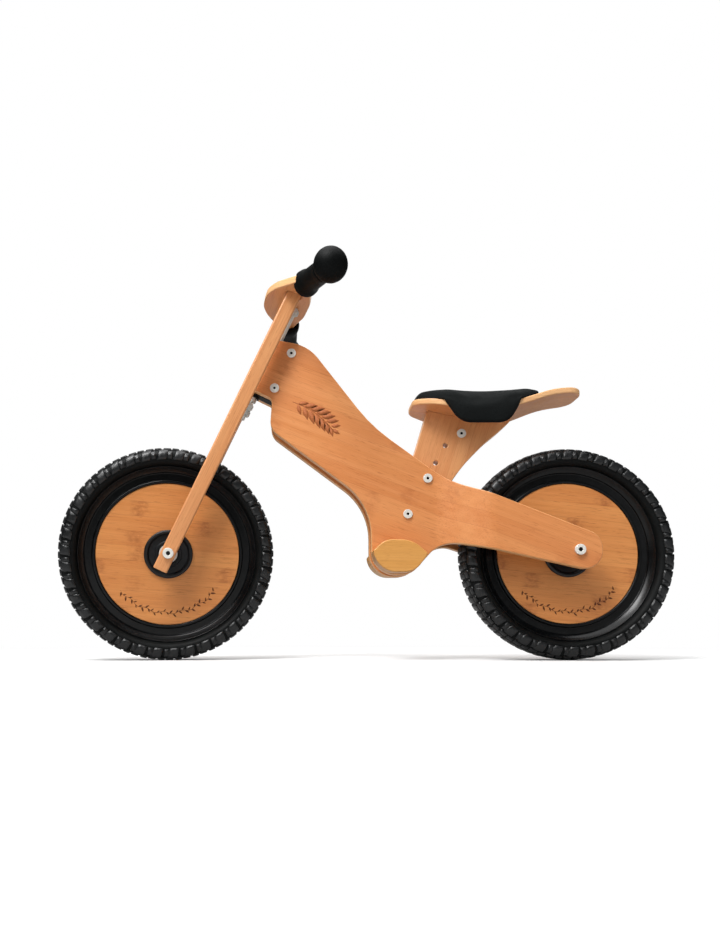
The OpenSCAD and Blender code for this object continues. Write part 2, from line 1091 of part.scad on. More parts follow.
frame_plate_left();
frame_plate_right();
head_block();
head_bushings();
head_bolts();
head_nuts();
frame_spacer();
footrest_left();
footrest_right();
footrest_screws();
seat_post();
seat_bolts();
seat_nuts();
seat_tie_bolt();
seat_tie_nut();
seat_screws();
seat_board();
seat_cushion();
rear_axle_bolt();
rear_axle_nut();
rear_washers();
rear_spacers();
fork_leg_left();
fork_leg_right();
handlebar_board();
bar_peg_left();
bar_peg_right();
grip_left();
grip_right();
steering_rod();
rod_nuts();
rod_cap();
lower_bracket();
bracket_screws();
leg_screws();
front_axle_bolt();
front_axle_nut();
front_washers();
front_spacers();
front_tyre();
front_rim();
front_cover_left();
front_cover_right();
front_hub_rings();
front_bushings();
rear_tyre();
rear_rim();
rear_cover_left();
rear_cover_right();
rear_hub_rings();
rear_bushings();
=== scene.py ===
import json
import math

import bmesh
import bpy
from mathutils import Matrix, Vector
from mathutils.bvhtree import BVHTree

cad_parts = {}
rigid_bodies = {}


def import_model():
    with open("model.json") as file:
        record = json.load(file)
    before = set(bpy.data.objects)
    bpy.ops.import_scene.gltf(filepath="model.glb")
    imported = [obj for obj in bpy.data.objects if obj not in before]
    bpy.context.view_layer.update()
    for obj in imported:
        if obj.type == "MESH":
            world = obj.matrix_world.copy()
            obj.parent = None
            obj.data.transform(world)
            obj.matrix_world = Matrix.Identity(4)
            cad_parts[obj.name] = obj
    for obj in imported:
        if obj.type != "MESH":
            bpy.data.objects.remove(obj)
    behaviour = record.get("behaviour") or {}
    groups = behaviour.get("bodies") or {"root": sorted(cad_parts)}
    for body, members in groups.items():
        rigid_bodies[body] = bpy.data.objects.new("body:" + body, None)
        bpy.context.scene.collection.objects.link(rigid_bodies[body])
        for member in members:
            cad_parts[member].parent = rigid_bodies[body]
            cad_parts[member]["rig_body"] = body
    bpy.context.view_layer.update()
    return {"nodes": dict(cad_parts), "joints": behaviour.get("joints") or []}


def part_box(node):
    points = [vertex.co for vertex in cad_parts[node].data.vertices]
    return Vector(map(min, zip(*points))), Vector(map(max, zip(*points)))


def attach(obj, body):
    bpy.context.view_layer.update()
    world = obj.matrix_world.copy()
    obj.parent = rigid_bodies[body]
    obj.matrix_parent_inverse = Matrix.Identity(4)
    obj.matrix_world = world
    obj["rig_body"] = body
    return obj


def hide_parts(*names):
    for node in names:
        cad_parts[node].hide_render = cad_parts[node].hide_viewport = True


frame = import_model()
nodes = frame["nodes"]
joints = {joint["name"]: joint for joint in frame["joints"]}
mm = 0.001
print("frame loaded:", len(nodes), "nodes")

# camera

cameraView = {
    "place": (-0.0907, -0.9508, 0.0342),
    "pitchUp": 4.05,
    "lens": 27.16,
    "shift": (0.0647, 0.1304),
}


def link(item):
    bpy.context.scene.collection.objects.link(item)
    return item


def addCamera(values):
    data = bpy.data.cameras.new("camera")
    data.lens = values["lens"]
    data.shift_x, data.shift_y = values["shift"]
    data.clip_start = 0.01
    camera = link(bpy.data.objects.new("camera", data))
    camera.location = values["place"]
    camera.rotation_euler = (math.radians(90 + values["pitchUp"]), 0, 0)
    bpy.context.scene.camera = camera


addCamera(cameraView)

# places on the bike: the fork's own axes and the two wheels


def axesAt(origin, xAxis, yAxis, zAxis):
    turned = Matrix((xAxis, yAxis, zAxis)).transposed().to_4x4()
    turned.translation = origin
    return turned


steerAxis = Vector(joints["steering"]["axis"]).normalized()
frontAxis = Vector(joints["front_spin"]["axis"]).normalized()
forkFrame = axesAt(Vector(joints["front_spin"]["pos_m"]), frontAxis.cross(steerAxis), frontAxis, steerAxis)
rearFrame = Matrix.Translation(Vector(joints["rear_spin"]["pos_m"]))
wheelFrames = {"front": forkFrame, "rear": rearFrame}

# node helpers


def tone(red, green, blue):
    linear = [((c / 255 + 0.055) / 1.055) ** 2.4 if c > 10 else c / 255 / 12.92 for c in (red, green, blue)]
    return (*linear, 1)


def feed(tree, socket, value):
    if isinstance(value, bpy.types.NodeSocket):
        tree.links.new(value, socket)
    else:
        socket.default_value = value


def put(tree, kind, inputs, **settings):
    node = tree.nodes.new(kind)
    for name, value in settings.items():
        setattr(node, name, value)
    for name, value in inputs.items():
        feed(tree, node.inputs[name], value)
    return node


def calc(tree, operation, *values):
    node = put(tree, "ShaderNodeMath", dict(enumerate(values)), operation=operation)
    return node.outputs[0]


def plus(tree, first, second):
    return calc(tree, "ADD", first, second)


def minus(tree, first, second):
    return calc(tree, "SUBTRACT", first, second)


def times(tree, first, second):
    return calc(tree, "MULTIPLY", first, second)


def divided(tree, first, second):
    return calc(tree, "DIVIDE", first, second)


def ramp(tree, value, fromLow, fromHigh, toLow=0.0, toHigh=1.0, kind="SMOOTHSTEP"):
    inputs = {"Value": value, "From Min": fromLow, "From Max": fromHigh, "To Min": toLow, "To Max": toHigh}
    return put(tree, "ShaderNodeMapRange", inputs, interpolation_type=kind).outputs["Result"]


def noise(tree, vector, scale=1.0, detail=2.0, rough=0.5):
    inputs = {"Vector": vector, "Scale": scale, "Detail": detail, "Roughness": rough}
    return put(tree, "ShaderNodeTexNoise", inputs).outputs["Fac"]


def stretched(tree, vector, factors):
    inputs = {0: vector, 1: factors}
    return put(tree, "ShaderNodeVectorMath", inputs, operation="MULTIPLY").outputs[0]


def vectorOf(tree, **parts):
    return put(tree, "ShaderNodeCombineXYZ", parts).outputs[0]


def blend(tree, factor, first, second):
    node = put(tree, "ShaderNodeMix", {0: factor}, data_type="RGBA")
    feed(tree, node.inputs[6], first)
    feed(tree, node.inputs[7], second)
    return node.outputs[2]


def newMaterial(name, **surface):
    material = bpy.data.materials.new(name)
    material.use_nodes = True
    tree = material.node_tree
    shader = tree.nodes["Principled BSDF"]
    for socket, value in surface.items():
        shader.inputs[socket.replace("_", " ")].default_value = value
    return material, tree, shader


def objectMm(tree):
    place = tree.nodes.new("ShaderNodeTexCoord").outputs["Object"]
    return stretched(tree, place, (1000, 1000, 1000))


def bump(tree, shader, height, strength, distance):
    inputs = {"Height": height, "Strength": strength, "Distance": distance}
    tree.links.new(put(tree, "ShaderNodeBump", inputs).outputs["Normal"], shader.inputs["Normal"])


# bamboo: glued strips with knots across them, fine fibres, and plies on the edges

bambooSockets = [
    ("Place", "Vector", None),
    ("Facing", "Float", 1.0),
    ("Ply Position", "Float", 0.0),
    ("Ply Edges", "Float", 1.0),
    ("Strip Width", "Float", 19.0),
    ("Knot Spacing", "Float", 210.0),
    ("Knot Strength", "Float", 0.6),
    ("Seed", "Float", 0.0),
    ("Light", "Color", tone(232, 168, 104)),
    ("Middle", "Color", tone(214, 138, 78)),
    ("Dark", "Color", tone(176, 98, 48)),
    ("Edge", "Color", tone(236, 186, 126)),
]
plyThick = 4.0


def bambooGroup():
    tree = bpy.data.node_groups.new("bambooPattern", "ShaderNodeTree")
    for name, kind, value in bambooSockets:
        socket = tree.interface.new_socket(name=name, in_out="INPUT", socket_type="NodeSocket" + kind)
        if value is not None:
            socket.default_value = value
    for name, kind in (("Color", "Color"), ("Height", "Float"), ("Streak", "Float")):
        tree.interface.new_socket(name=name, in_out="OUTPUT", socket_type="NodeSocket" + kind)
    given = tree.nodes.new("NodeGroupInput").outputs
    place = given["Place"]
    along, across, _ = put(tree, "ShaderNodeSeparateXYZ", {0: place}).outputs

    def wander(factors, amount, detail=2.0):
        drift = noise(tree, stretched(tree, place, factors), detail=detail)
        return times(tree, minus(tree, drift, 0.5), amount)

    swayed = plus(tree, across, wander((0.006, 0.01, 0.0), 3.0))
    stripPlace = plus(tree, divided(tree, swayed, given["Strip Width"]), given["Seed"])
    stripNumber = calc(tree, "FLOOR", stripPlace)
    stripShare = calc(tree, "FRACT", stripPlace)
    chance = put(tree, "ShaderNodeTexWhiteNoise", {"W": stripNumber}, noise_dimensions="1D")
    chanceA = chance.outputs["Value"]
    chanceB, chanceC, _ = put(tree, "ShaderNodeSeparateColor", {0: chance.outputs["Color"]}).outputs

    nearest = calc(tree, "MINIMUM", stripShare, minus(tree, 1.0, stripShare))
    seam = ramp(tree, times(tree, nearest, given["Strip Width"]), 0.0, 0.5, 1.0, 0.0)

    # a knot crosses each strip now and then, ragged and mottled
    knotPlace = plus(tree, divided(tree, along, given["Knot Spacing"]), times(tree, chanceA, 7.3))
    fromKnot = calc(tree, "ABSOLUTE", minus(tree, calc(tree, "FRACT", knotPlace), 0.5))
    ragged = wander((0.12, 0.3, 0.3), 18.0, detail=4.0)
    distance = calc(tree, "ABSOLUTE", plus(tree, times(tree, fromKnot, given["Knot Spacing"]), ragged))
    patches = noise(tree, stretched(tree, place, (0.1, 0.17, 0.17)), detail=5.0, rough=0.6)
    mottle = ramp(tree, patches, 0.3, 0.68)
    core = ramp(tree, distance, 0.0, 5.0, 0.8, 0.0)
    halo = times(tree, ramp(tree, distance, 1.0, 17.0, 0.8, 0.0), mottle)
    shown = ramp(tree, chanceB, 0.15, 0.6)
    knot = times(tree, calc(tree, "MAXIMUM", times(tree, core, 0.45), halo), shown)
    knot = times(tree, knot, given["Knot Strength"])

    fine = noise(tree, stretched(tree, place, (0.018, 1.5, 1.5)), detail=4.0, rough=0.6)
    wide = noise(tree, stretched(tree, place, (0.004, 0.16, 0.16)), detail=2.0)
    cloud = noise(tree, stretched(tree, place, (0.009, 0.014, 0.014)), detail=2.0)
    dash = noise(tree, stretched(tree, place, (0.07, 0.8, 0.8)), detail=3.0, rough=0.55)

    color = blend(tree, ramp(tree, wide, 0.3, 0.7), given["Middle"], given["Light"])
    stripTone = blend(tree, chanceC, given["Middle"], given["Light"])
    color = blend(tree, 0.6, color, stripTone)
    color = blend(tree, ramp(tree, cloud, 0.35, 0.7, 0.0, 0.35), color, given["Middle"])
    color = blend(tree, ramp(tree, fine, 0.52, 0.25, 0.0, 0.5), color, given["Dark"])
    color = blend(tree, ramp(tree, dash, 0.56, 0.76, 0.0, 0.55), color, given["Dark"])
    seamShade = times(tree, seam, ramp(tree, chanceA, 0.0, 1.0, 0.12, 0.4))
    color = blend(tree, seamShade, color, given["Dark"])
    color = blend(tree, knot, color, given["Dark"])

    # edges: three plies, the middle one showing its end grain
    plyPlace = plus(tree, divided(tree, given["Ply Position"], plyThick), 0.5)
    plyShare = calc(tree, "FRACT", plyPlace)
    plyNumber = calc(tree, "FLOOR", plyPlace)
    middlePly = minus(tree, 1.0, calc(tree, "MINIMUM", calc(tree, "ABSOLUTE", plyNumber), 1.0))
    pores = noise(tree, stretched(tree, place, (0.9, 0.9, 0.9)), detail=3.0)
    edge = blend(tree, ramp(tree, pores, 0.35, 0.7, 0.0, 0.5), given["Edge"], given["Light"])
    endGrain = times(tree, middlePly, ramp(tree, pores, 0.3, 0.6, 0.5, 0.15))
    edge = blend(tree, endGrain, edge, given["Middle"])
    nearLine = calc(tree, "MINIMUM", plyShare, minus(tree, 1.0, plyShare))
    line = ramp(tree, nearLine, 0.0, 0.07, 0.4, 0.0)
    edge = blend(tree, line, edge, given["Dark"])
    edgeShare = times(tree, ramp(tree, given["Facing"], 0.62, 0.9, 1.0, 0.0), given["Ply Edges"])
    color = blend(tree, edgeShare, color, edge)

    height = minus(tree, times(tree, fine, 0.6), times(tree, seam, 0.5))
    height = plus(tree, height, times(tree, knot, 0.3))
    put(tree, "NodeGroupOutput", {"Color": color, "Height": height, "Streak": wide})
    return tree


bambooTree = bambooGroup()


def bamboo(name, grain, thickness, origin=(0, 0, 0), bend=None, **values):
    material, tree, shader = newMaterial(
        name, Coat_Weight=0.22, Coat_Roughness=0.22, Specular_IOR_Level=0.42)
    grain, thickness = Vector(grain).normalized(), Vector(thickness).normalized()
    thickness = (thickness - grain * thickness.dot(grain)).normalized()
    turned = Matrix((grain, thickness.cross(grain), thickness))
    euler = turned.to_euler()
    offset = turned @ Vector(origin) * -1000
    coordinate = tree.nodes.new("ShaderNodeTexCoord").outputs
    place = put(tree, "ShaderNodeMapping", {
        "Vector": coordinate["Object"], "Location": offset, "Rotation": euler, "Scale": (1000, 1000, 1000)})
    normal = put(tree, "ShaderNodeMapping", {
        "Vector": coordinate["Normal"], "Rotation": euler}, vector_type="VECTOR")
    facing = calc(tree, "ABSOLUTE", put(tree, "ShaderNodeSeparateXYZ", {0: normal.outputs[0]}).outputs[2])
    through = put(tree, "ShaderNodeSeparateXYZ", {0: place.outputs[0]}).outputs[2]
    if bend:
        # the plate's middle runs outwards from one distance to another along the bike
        worldX, worldY, _ = put(tree, "ShaderNodeSeparateXYZ", {0: coordinate["Object"]}).outputs
        middle = ramp(tree, worldX, bend["from"], bend["to"], bend["narrow"], bend["wide"])
        through = times(tree, minus(tree, calc(tree, "ABSOLUTE", worldY), middle), 1000.0)
    group = tree.nodes.new("ShaderNodeGroup")
    group.node_tree = bambooTree
    feed(tree, group.inputs["Place"], place.outputs[0])
    feed(tree, group.inputs["Facing"], facing)
    feed(tree, group.inputs["Ply Position"], through)
    for socket, value in values.items():
        group.inputs[socket.replace("_", " ")].default_value = value
    tree.links.new(group.outputs["Color"], shader.inputs["Base Color"])
    tree.links.new(ramp(tree, group.outputs["Streak"], 0.3, 0.7, 0.36, 0.5), shader.inputs["Roughness"])
    bump(tree, shader, group.outputs["Height"], 0.25, 0.0003)
    return material


sideways = Vector((0, 1, 0))
forkTilt = 25.2
forkY, forkZ = (forkFrame.to_3x3() @ Vector(axis) for axis in ((0, 1, 0), (0, 0, 1)))
plateTones = {
    "Light": tone(222, 149, 88),
    "Middle": tone(206, 127, 70),
    "Dark": tone(164, 86, 40),
    "Edge": tone(236, 184, 126),
}
legTones = {
    "Light": tone(226, 164, 108),
    "Middle": tone(211, 141, 88),
    "Dark": tone(168, 96, 52),
    "Edge": tone(232, 182, 128),
}
coverTones = {
    "Light": tone(219, 148, 80),
    "Middle": tone(200, 124, 62),
    "Dark": tone(146, 78, 34),
    "Edge": tone(228, 174, 112),
}
stepTones = {"Light": tone(222, 164, 88), "Middle": tone(204, 142, 68), "Dark": tone(160, 100, 44)}


def slope(degrees):
    return Vector((math.cos(math.radians(degrees)), 0, -math.sin(math.radians(degrees))))


def forkSlope(degrees):
    flat = forkFrame.to_3x3().to_4x4() @ Matrix.Rotation(math.radians(-forkTilt), 4, "Y")
    return flat.to_3x3() @ slope(degrees)


plateBend = {"from": 0.088, "to": 0.166, "narrow": 0.016, "wide": 0.044}
woods = {
    "plateWood": bamboo("plateWood", slope(21), sideways, bend=plateBend, Strip_Width=21.0,
        Knot_Spacing=260.0, Knot_Strength=0.5, Seed=3.2, **plateTones),
    "postWood": bamboo("postWood", slope(-72), sideways, Strip_Width=17.0,
        Knot_Spacing=190.0, Knot_Strength=0.35, Seed=7.4, **legTones),
    "seatWood": bamboo("seatWood", (1, 0, 0), (0, 0, 1), (0.1, 0, 0.345), Strip_Width=19.0,
        Knot_Strength=0.4, Seed=1.7, **legTones),
    "legWood": bamboo("legWood", forkZ, forkY, Ply_Edges=0.0, Strip_Width=24.0,
        Knot_Strength=0.3, Seed=11.3, **legTones),
    "barWood": bamboo("barWood", forkY, forkZ, Strip_Width=18.0,
        Knot_Strength=0.45, Seed=5.1, **legTones),
    "stepWood": bamboo("stepWood", (1, 0, 0), (0, 0, 1), Ply_Edges=0.0, Strip_Width=14.0,
        Knot_Strength=0.2, Seed=2.6, **stepTones),
    "frontCoverWood": bamboo("frontCoverWood", forkSlope(4), frontAxis, forkFrame.translation,
        Strip_Width=20.0, Knot_Spacing=170.0, Knot_Strength=0.8, Seed=9.37, **coverTones),
    "rearCoverWood": bamboo("rearCoverWood", slope(6), sideways, rearFrame.translation,
        Strip_Width=20.0, Knot_Spacing=180.0, Knot_Strength=0.85, Seed=4.45, **coverTones),
}
print("bamboo finishes:", len(woods))

# plastics, foam, rubber, metals and cloth


def moulded(name, color, roughLow, roughHigh, grain, depth, shine):
    material, tree, shader = newMaterial(name, Specular_IOR_Level=shine)
    place = objectMm(tree)
    haze = noise(tree, place, 0.02, 3.0)
    tree.links.new(ramp(tree, haze, 0.3, 0.7, roughLow, roughHigh), shader.inputs["Roughness"])
    shade = [channel * 1.7 + 0.003 for channel in color[:3]] + [1]
    mottle = ramp(tree, noise(tree, place, grain * 0.4, 3.0), 0.4, 0.75, 0.0, 0.6)
    tree.links.new(blend(tree, mottle, color, shade), shader.inputs["Base Color"])
    bump(tree, shader, noise(tree, place, grain, 2.0), 0.3, depth)
    return material


def foam(name, color, wearAndSheen, roughLow, roughHigh, shine):
    material, tree, shader = newMaterial(name, Specular_IOR_Level=shine)
    place = objectMm(tree)
    cells = put(tree, "ShaderNodeTexVoronoi", {"Vector": place, "Scale": 0.9}).outputs["Distance"]
    patches = noise(tree, place, 0.035, 4.0, 0.6)
    tree.links.new(blend(tree, ramp(tree, patches, 0.35, 0.7), color, wearAndSheen), shader.inputs["Base Color"])
    tree.links.new(ramp(tree, patches, 0.3, 0.7, roughLow, roughHigh), shader.inputs["Roughness"])
    height = plus(tree, times(tree, cells, 0.6), noise(tree, place, 0.6, 3.0))
    bump(tree, shader, height, 0.35, 0.0002)
    return material


def metal(name, color, roughLow, roughHigh, brush):
    # a dim backdrop turns pure metal dark, so part of its brightness is scattered light
    material, tree, shader = newMaterial(name)
    place = objectMm(tree)
    lines = noise(tree, stretched(tree, place, brush), 1.0, 3.0)
    spots = noise(tree, place, 0.35, 3.0)
    tree.links.new(ramp(tree, lines, 0.3, 0.7, roughLow, roughHigh), shader.inputs["Roughness"])
    dull = [channel * 0.72 for channel in color[:3]] + [1]
    spotted = blend(tree, ramp(tree, spots, 0.5, 0.8, 0.0, 0.5), color, dull)
    # painted shade: where much of the view is blocked nearby, as in hex sockets and threads, the base colour is
    # painted near-black and the metal turns less metallic, standing in for the shade that falls in these
    # recesses
    recessShade = put(tree, "ShaderNodeAttribute", {}, attribute_name="recessShade").outputs["Fac"]
    paintedShade = ramp(tree, recessShade, 0.3, 0.62)
    tree.links.new(blend(tree, paintedShade, spotted, (0.012, 0.012, 0.012, 1)), shader.inputs["Base Color"])
    tree.links.new(ramp(tree, recessShade, 0.3, 0.62, 0.25, 0.1), shader.inputs["Metallic"])
    bump(tree, shader, lines, 0.15, 0.00005)
    return material


def knit(name, color, lit, pitch):
    material, tree, shader = newMaterial(
        name, Roughness=0.9, Sheen_Weight=0.05, Sheen_Roughness=0.4, Specular_IOR_Level=0.15)
    place = objectMm(tree)
    loops = put(tree, "ShaderNodeTexVoronoi", {
        "Vector": stretched(tree, place, (1, 1.25, 1)), "Scale": 1 / pitch}).outputs["Distance"]
    fuzz = noise(tree, place, 1.8, 4.0, 0.7)
    wearAndSheen = noise(tree, place, 0.03, 3.0)
    # painted highlight: the raised loop tops are coloured in the lighter lit tone, more strongly where the
    # patchy noise is high
    share = times(tree, ramp(tree, loops, 0.6, 0.1), ramp(tree, wearAndSheen, 0.35, 0.7, 0.25, 1.0))
    tree.links.new(blend(tree, share, color, lit), shader.inputs["Base Color"])
    height = minus(tree, times(tree, fuzz, 0.35), loops)
    bump(tree, shader, height, 0.5, 0.0003)
    return material


finishes = {
    "rimPlastic": moulded("rimPlastic", tone(5, 6, 7), 0.2, 0.27, 0.25, 0.00002, 0.3),
    "dullPlastic": moulded("dullPlastic", tone(10, 11, 12), 0.42, 0.58, 1.5, 0.0001, 0.2),
    "hubPlastic": moulded("hubPlastic", tone(13, 15, 17), 0.3, 0.42, 0.5, 0.00004, 0.4),
    "tyreFoam": foam("tyreFoam", tone(6, 8, 8), tone(12, 14, 14), 0.46, 0.62, 0.15),
    "treadFoam": foam("treadFoam", tone(8, 10, 11), tone(16, 18, 20), 0.32, 0.44, 0.6),
    "gripRubber": moulded("gripRubber", tone(5, 7, 7), 0.52, 0.66, 1.6, 0.00012, 0.1),
    "nickel": metal("nickel", tone(238, 236, 228), 0.14, 0.26, (0.4, 6.0, 0.4)),
    "zinc": metal("zinc", tone(214, 213, 206), 0.26, 0.4, (2.5, 2.5, 0.5)),
    "seatCloth": knit("seatCloth", tone(10, 13, 13), tone(25, 29, 29), 0.8),
}


def burnt(name, color, edge):
    material, tree, shader = newMaterial(name, Roughness=0.6, Specular_IOR_Level=0.25)
    place = objectMm(tree)
    scorch = noise(tree, place, 0.9, 4.0, 0.65)
    tree.links.new(blend(tree, ramp(tree, scorch, 0.35, 0.7), color, edge), shader.inputs["Base Color"])
    bump(tree, shader, scorch, 0.4, 0.0001)
    return material


finishes["sprigBurn"] = burnt("sprigBurn", tone(160, 88, 46), tone(182, 108, 62))
finishes["vineBurn"] = burnt("vineBurn", tone(74, 38, 18), tone(112, 62, 30))
print("finishes:", len(finishes))

# mesh helpers


def settle(item):
    # the object's modifiers become its mesh
    depsgraph = bpy.context.evaluated_depsgraph_get()
    mesh = bpy.data.meshes.new_from_object(item.evaluated_get(depsgraph), depsgraph=depsgraph)
    item.modifiers.clear()
    item.data = mesh
    return item


def paint(mesh, finish):
    mesh.materials.clear()
    mesh.materials.append(finishes.get(finish) or woods[finish])


def newPiece(name, mesh, material, body, replaced=()):
    paint(mesh, material)
    mesh.name = name
    piece = link(bpy.data.objects.new(name, mesh))
    return dress(piece, body, replaced)


def dress(piece, body, replaced=()):
    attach(piece, body)
    if replaced:
        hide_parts(*replaced)
    return piece


def meshOf(build, transform=None):
    work = bmesh.new()
    build(work)
    bmesh.ops.remove_doubles(work, verts=work.verts, dist=1e-6)
    bmesh.ops.recalc_face_normals(work, faces=work.faces)
    mesh = bpy.data.meshes.new("mesh")
    if transform is not None:
        work.transform(transform)
    work.to_mesh(mesh)
    work.free()
    mesh.shade_smooth()
    return mesh


def chainFrom(edge, sharp):
    # the sharp edges that join on to this one
    chain, waiting = set(), [edge]
    while waiting:
        current = waiting.pop()
        if current not in chain:
            chain.add(current)
            waiting += [e for vertex in current.verts for e in vertex.link_edges if e in sharp]
    return chain


def weighSharpEdges(work, angle, shortest):
    # only sharp chains longer than the given length are rounded; small holes stay crisp
    weight = work.edges.layers.float.new("bevel_weight_edge")
    sharp = {e for e in work.edges if len(e.link_faces) == 2 and e.calc_face_angle(0) > angle}
    while sharp:
        chain = chainFrom(next(iter(sharp)), sharp)
        sharp -= chain
        rounded = sum(e.calc_length() for e in chain) > shortest
        for e in chain:
            e[weight] = float(rounded)
            e.smooth = rounded


def markRecessShade(mesh, reach, rays=24):
    # how much of the view out from each point is blocked nearby, kept as an attribute that the metals turn into
    # painted shade in their recesses
    tree = BVHTree.FromPolygons([v.co for v in mesh.vertices], [p.vertices for p in mesh.polygons])
    blocked = []
    for vertex in mesh.vertices:
        start = vertex.co + vertex.normal * 0.05 * mm
        hits = 0
        for ray in range(rays):
            height, turn = (ray + 0.5) / rays, ray * 2.4
            flat = math.sqrt(1 - height * height)
            way = Vector((flat * math.cos(turn), flat * math.sin(turn), height))
            way.rotate(Vector((0, 0, 1)).rotation_difference(vertex.normal))
            hits += tree.ray_cast(start, way, reach)[0] is not None
        blocked.append(hits / rays)
    mesh.attributes.new("recessShade", "FLOAT", "POINT").data.foreach_set("value", blocked)


def softened(node, name, material, radius, angle=35, segments=3):
    # a merged copy of a CAD node with its sharp edges rounded over
    source = nodes[node]

    def build(work):
        work.from_mesh(source.data)
        bmesh.ops.remove_doubles(work, verts=work.verts, dist=2e-6)
        bmesh.ops.dissolve_limit(work, angle_limit=math.radians(0.25), verts=work.verts, edges=work.edges)
        weighSharpEdges(work, math.radians(angle), 16 * radius)

    piece = link(bpy.data.objects.new(name, meshOf(build)))
    if radius:
        bevel = piece.modifiers.new("bevel", "BEVEL")
        bevel.width, bevel.segments = radius, segments
        bevel.limit_method = "WEIGHT"
        bevel.use_clamp_overlap = False
        bevel.loop_slide = False
        bevel.miter_outer = "MITER_ARC"
    weighted = piece.modifiers.new("weighted", "WEIGHTED_NORMAL")
    weighted.weight = 60
    weighted.keep_sharp = True
    settle(piece)
    # nickel pieces get the blocked-view attribute, which paints shade into their sockets and recesses
    if material == "nickel":
        markRecessShade(piece.data, 4 * mm)
    paint(piece.data, material)
    piece.data.name = name
    return dress(piece, source["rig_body"], [node])


softenedPieces = {
    "plateLeft": ("frame_plate_left", "plateWood", "bamboo_plate", 1.6),
    "plateRight": ("frame_plate_right", "plateWood", "bamboo_plate", 1.6),
    "headBlock": ("head_block", "dullPlastic", "black_nylon", 0.8),
    "footrestLeft": ("footrest_left", "stepWood", "bamboo_block", 1.6),
    "footrestRight": ("footrest_right", "stepWood", "bamboo_block", 1.6),
    "seatPost": ("seat_post", "postWood", "bamboo_plate", 1.2),
    "seatBoard": ("seat_board", "seatWood", "bamboo_plate", 1.8),
    "handlebarBoard": ("handlebar_board", "barWood", "bamboo_plate", 2.0),
    "forkLegLeft": ("fork_leg_left", "legWood", "bamboo_block", 0.9),
    "forkLegRight": ("fork_leg_right", "legWood", "bamboo_block", 0.9),
    "frontCoverLeft": ("front_cover_left", "frontCoverWood", "bamboo_plate", 0.5),
    "frontCoverRight": ("front_cover_right", "frontCoverWood", "bamboo_plate", 0.5),
    "rearCoverLeft": ("rear_cover_left", "rearCoverWood", "bamboo_plate", 0.5),
    "rearCoverRight": ("rear_cover_right", "rearCoverWood", "bamboo_plate", 0.5),
    "frontRim": ("front_rim", "rimPlastic", "black_plastic", 0.5),
    "rearRim": ("rear_rim", "rimPlastic", "black_plastic", 0.5),
    "frontHubRings": ("front_hub_rings", "hubPlastic", "black_plastic", 0.4),
    "rearHubRings": ("rear_hub_rings", "hubPlastic", "black_plastic", 0.4),
    "gripLeft": ("grip_left", "gripRubber", "grip_rubber", 0.8),
    "gripRight": ("grip_right", "gripRubber", "grip_rubber", 0.8),
    "headBolts": ("head_bolts", "nickel", "nickel", 0.55),
    "headNuts": ("head_nuts", "nickel", "nickel", 0.5),
    "seatBolts": ("seat_bolts", "nickel", "nickel", 0.55),
    "seatNuts": ("seat_nuts", "nickel", "nickel", 0.5),
    "seatTieBolt": ("seat_tie_bolt", "nickel", "nickel", 0.55),
    "seatTieNut": ("seat_tie_nut", "nickel", "nickel", 0.5),
    "rearAxleBolt": ("rear_axle_bolt", "nickel", "nickel", 0.6),
    "frontAxleBolt": ("front_axle_bolt", "nickel", "nickel", 0.6),
    "rodNuts": ("rod_nuts", "zinc", "zinc", 0.4),
    "rodCap": ("rod_cap", "zinc", "zinc", 0.4),
    "lowerBracket": ("lower_bracket", "zinc", "zinc", 0.4),
    "frontWashers": ("front_washers", "zinc", "zinc", 0.3),
    "rearWashers": ("rear_washers", "zinc", "zinc", 0.3),
}
for name, (node, material, slot, radius) in softenedPieces.items():
    softened(node, name, material, radius * mm)
print("rounded pieces:", len(softenedPieces))

# CAD nodes that stay as they are

keptNodes = {
    "zinc": ["footrest_screws", "seat_screws", "bracket_screws", "leg_screws",
             "rear_axle_nut", "front_axle_nut"],
    "dullPlastic": ["head_bushings", "rear_spacers", "front_spacers", "front_bushings", "rear_bushings"],
    "stepWood": ["frame_spacer", "bar_peg_left", "bar_peg_right"],
}
for material, members in keptNodes.items():
    for member in members:
        paint(nodes[member].data, material)
print("kept nodes:", sum(len(members) for members in keptNodes.values()))

# Geometry Nodes helpers


def newTree(name, sockets):
    tree = bpy.data.node_groups.new(name, "GeometryNodeTree")
    for socket, kind in [("Geometry", "Geometry"), *sockets]:
        tree.interface.new_socket(name=socket, in_out="INPUT", socket_type="NodeSocket" + kind)
    tree.interface.new_socket(name="Geometry", in_out="OUTPUT", socket_type="NodeSocketGeometry")
    return tree, tree.nodes.new("NodeGroupInput").outputs


def closeTree(tree, given, instances):
    real = put(tree, "GeometryNodeRealizeInstances", {0: instances}).outputs[0]
    painted = put(tree, "GeometryNodeSetMaterial", {"Geometry": real, "Material": given["Material"]}).outputs[0]
    put(tree, "NodeGroupOutput", {0: painted})
    return tree


def grown(name, mesh, tree, values, place, body, replaced=()):
    # runs a tree on a mesh, and leaves the result as a plain mesh in its place
    piece = link(bpy.data.objects.new(name, mesh))
    modifier = piece.modifiers.new("pattern", "NODES")
    modifier.node_group = tree
    sockets = {item.name: item.identifier for item in tree.interface.items_tree if item.in_out == "INPUT"}
    for socket, value in values.items():
        modifier[sockets[socket]] = value
    settle(piece)
    piece.data.transform(place)
    piece.data.name = name
    return dress(piece, body, replaced)


# tyres: a smooth casing with a ring of tread blocks

tyre = {
    "radius": 143.3 * mm,
    "wideRadius": 128 * mm,
    "halfWidth": 25.8 * mm,
    "seatRadius": 118 * mm,
    "seatHalfWidth": 16 * mm,
    "tread": 1.7 * mm,
    "blocks": 38,
    "steps": 152,
}


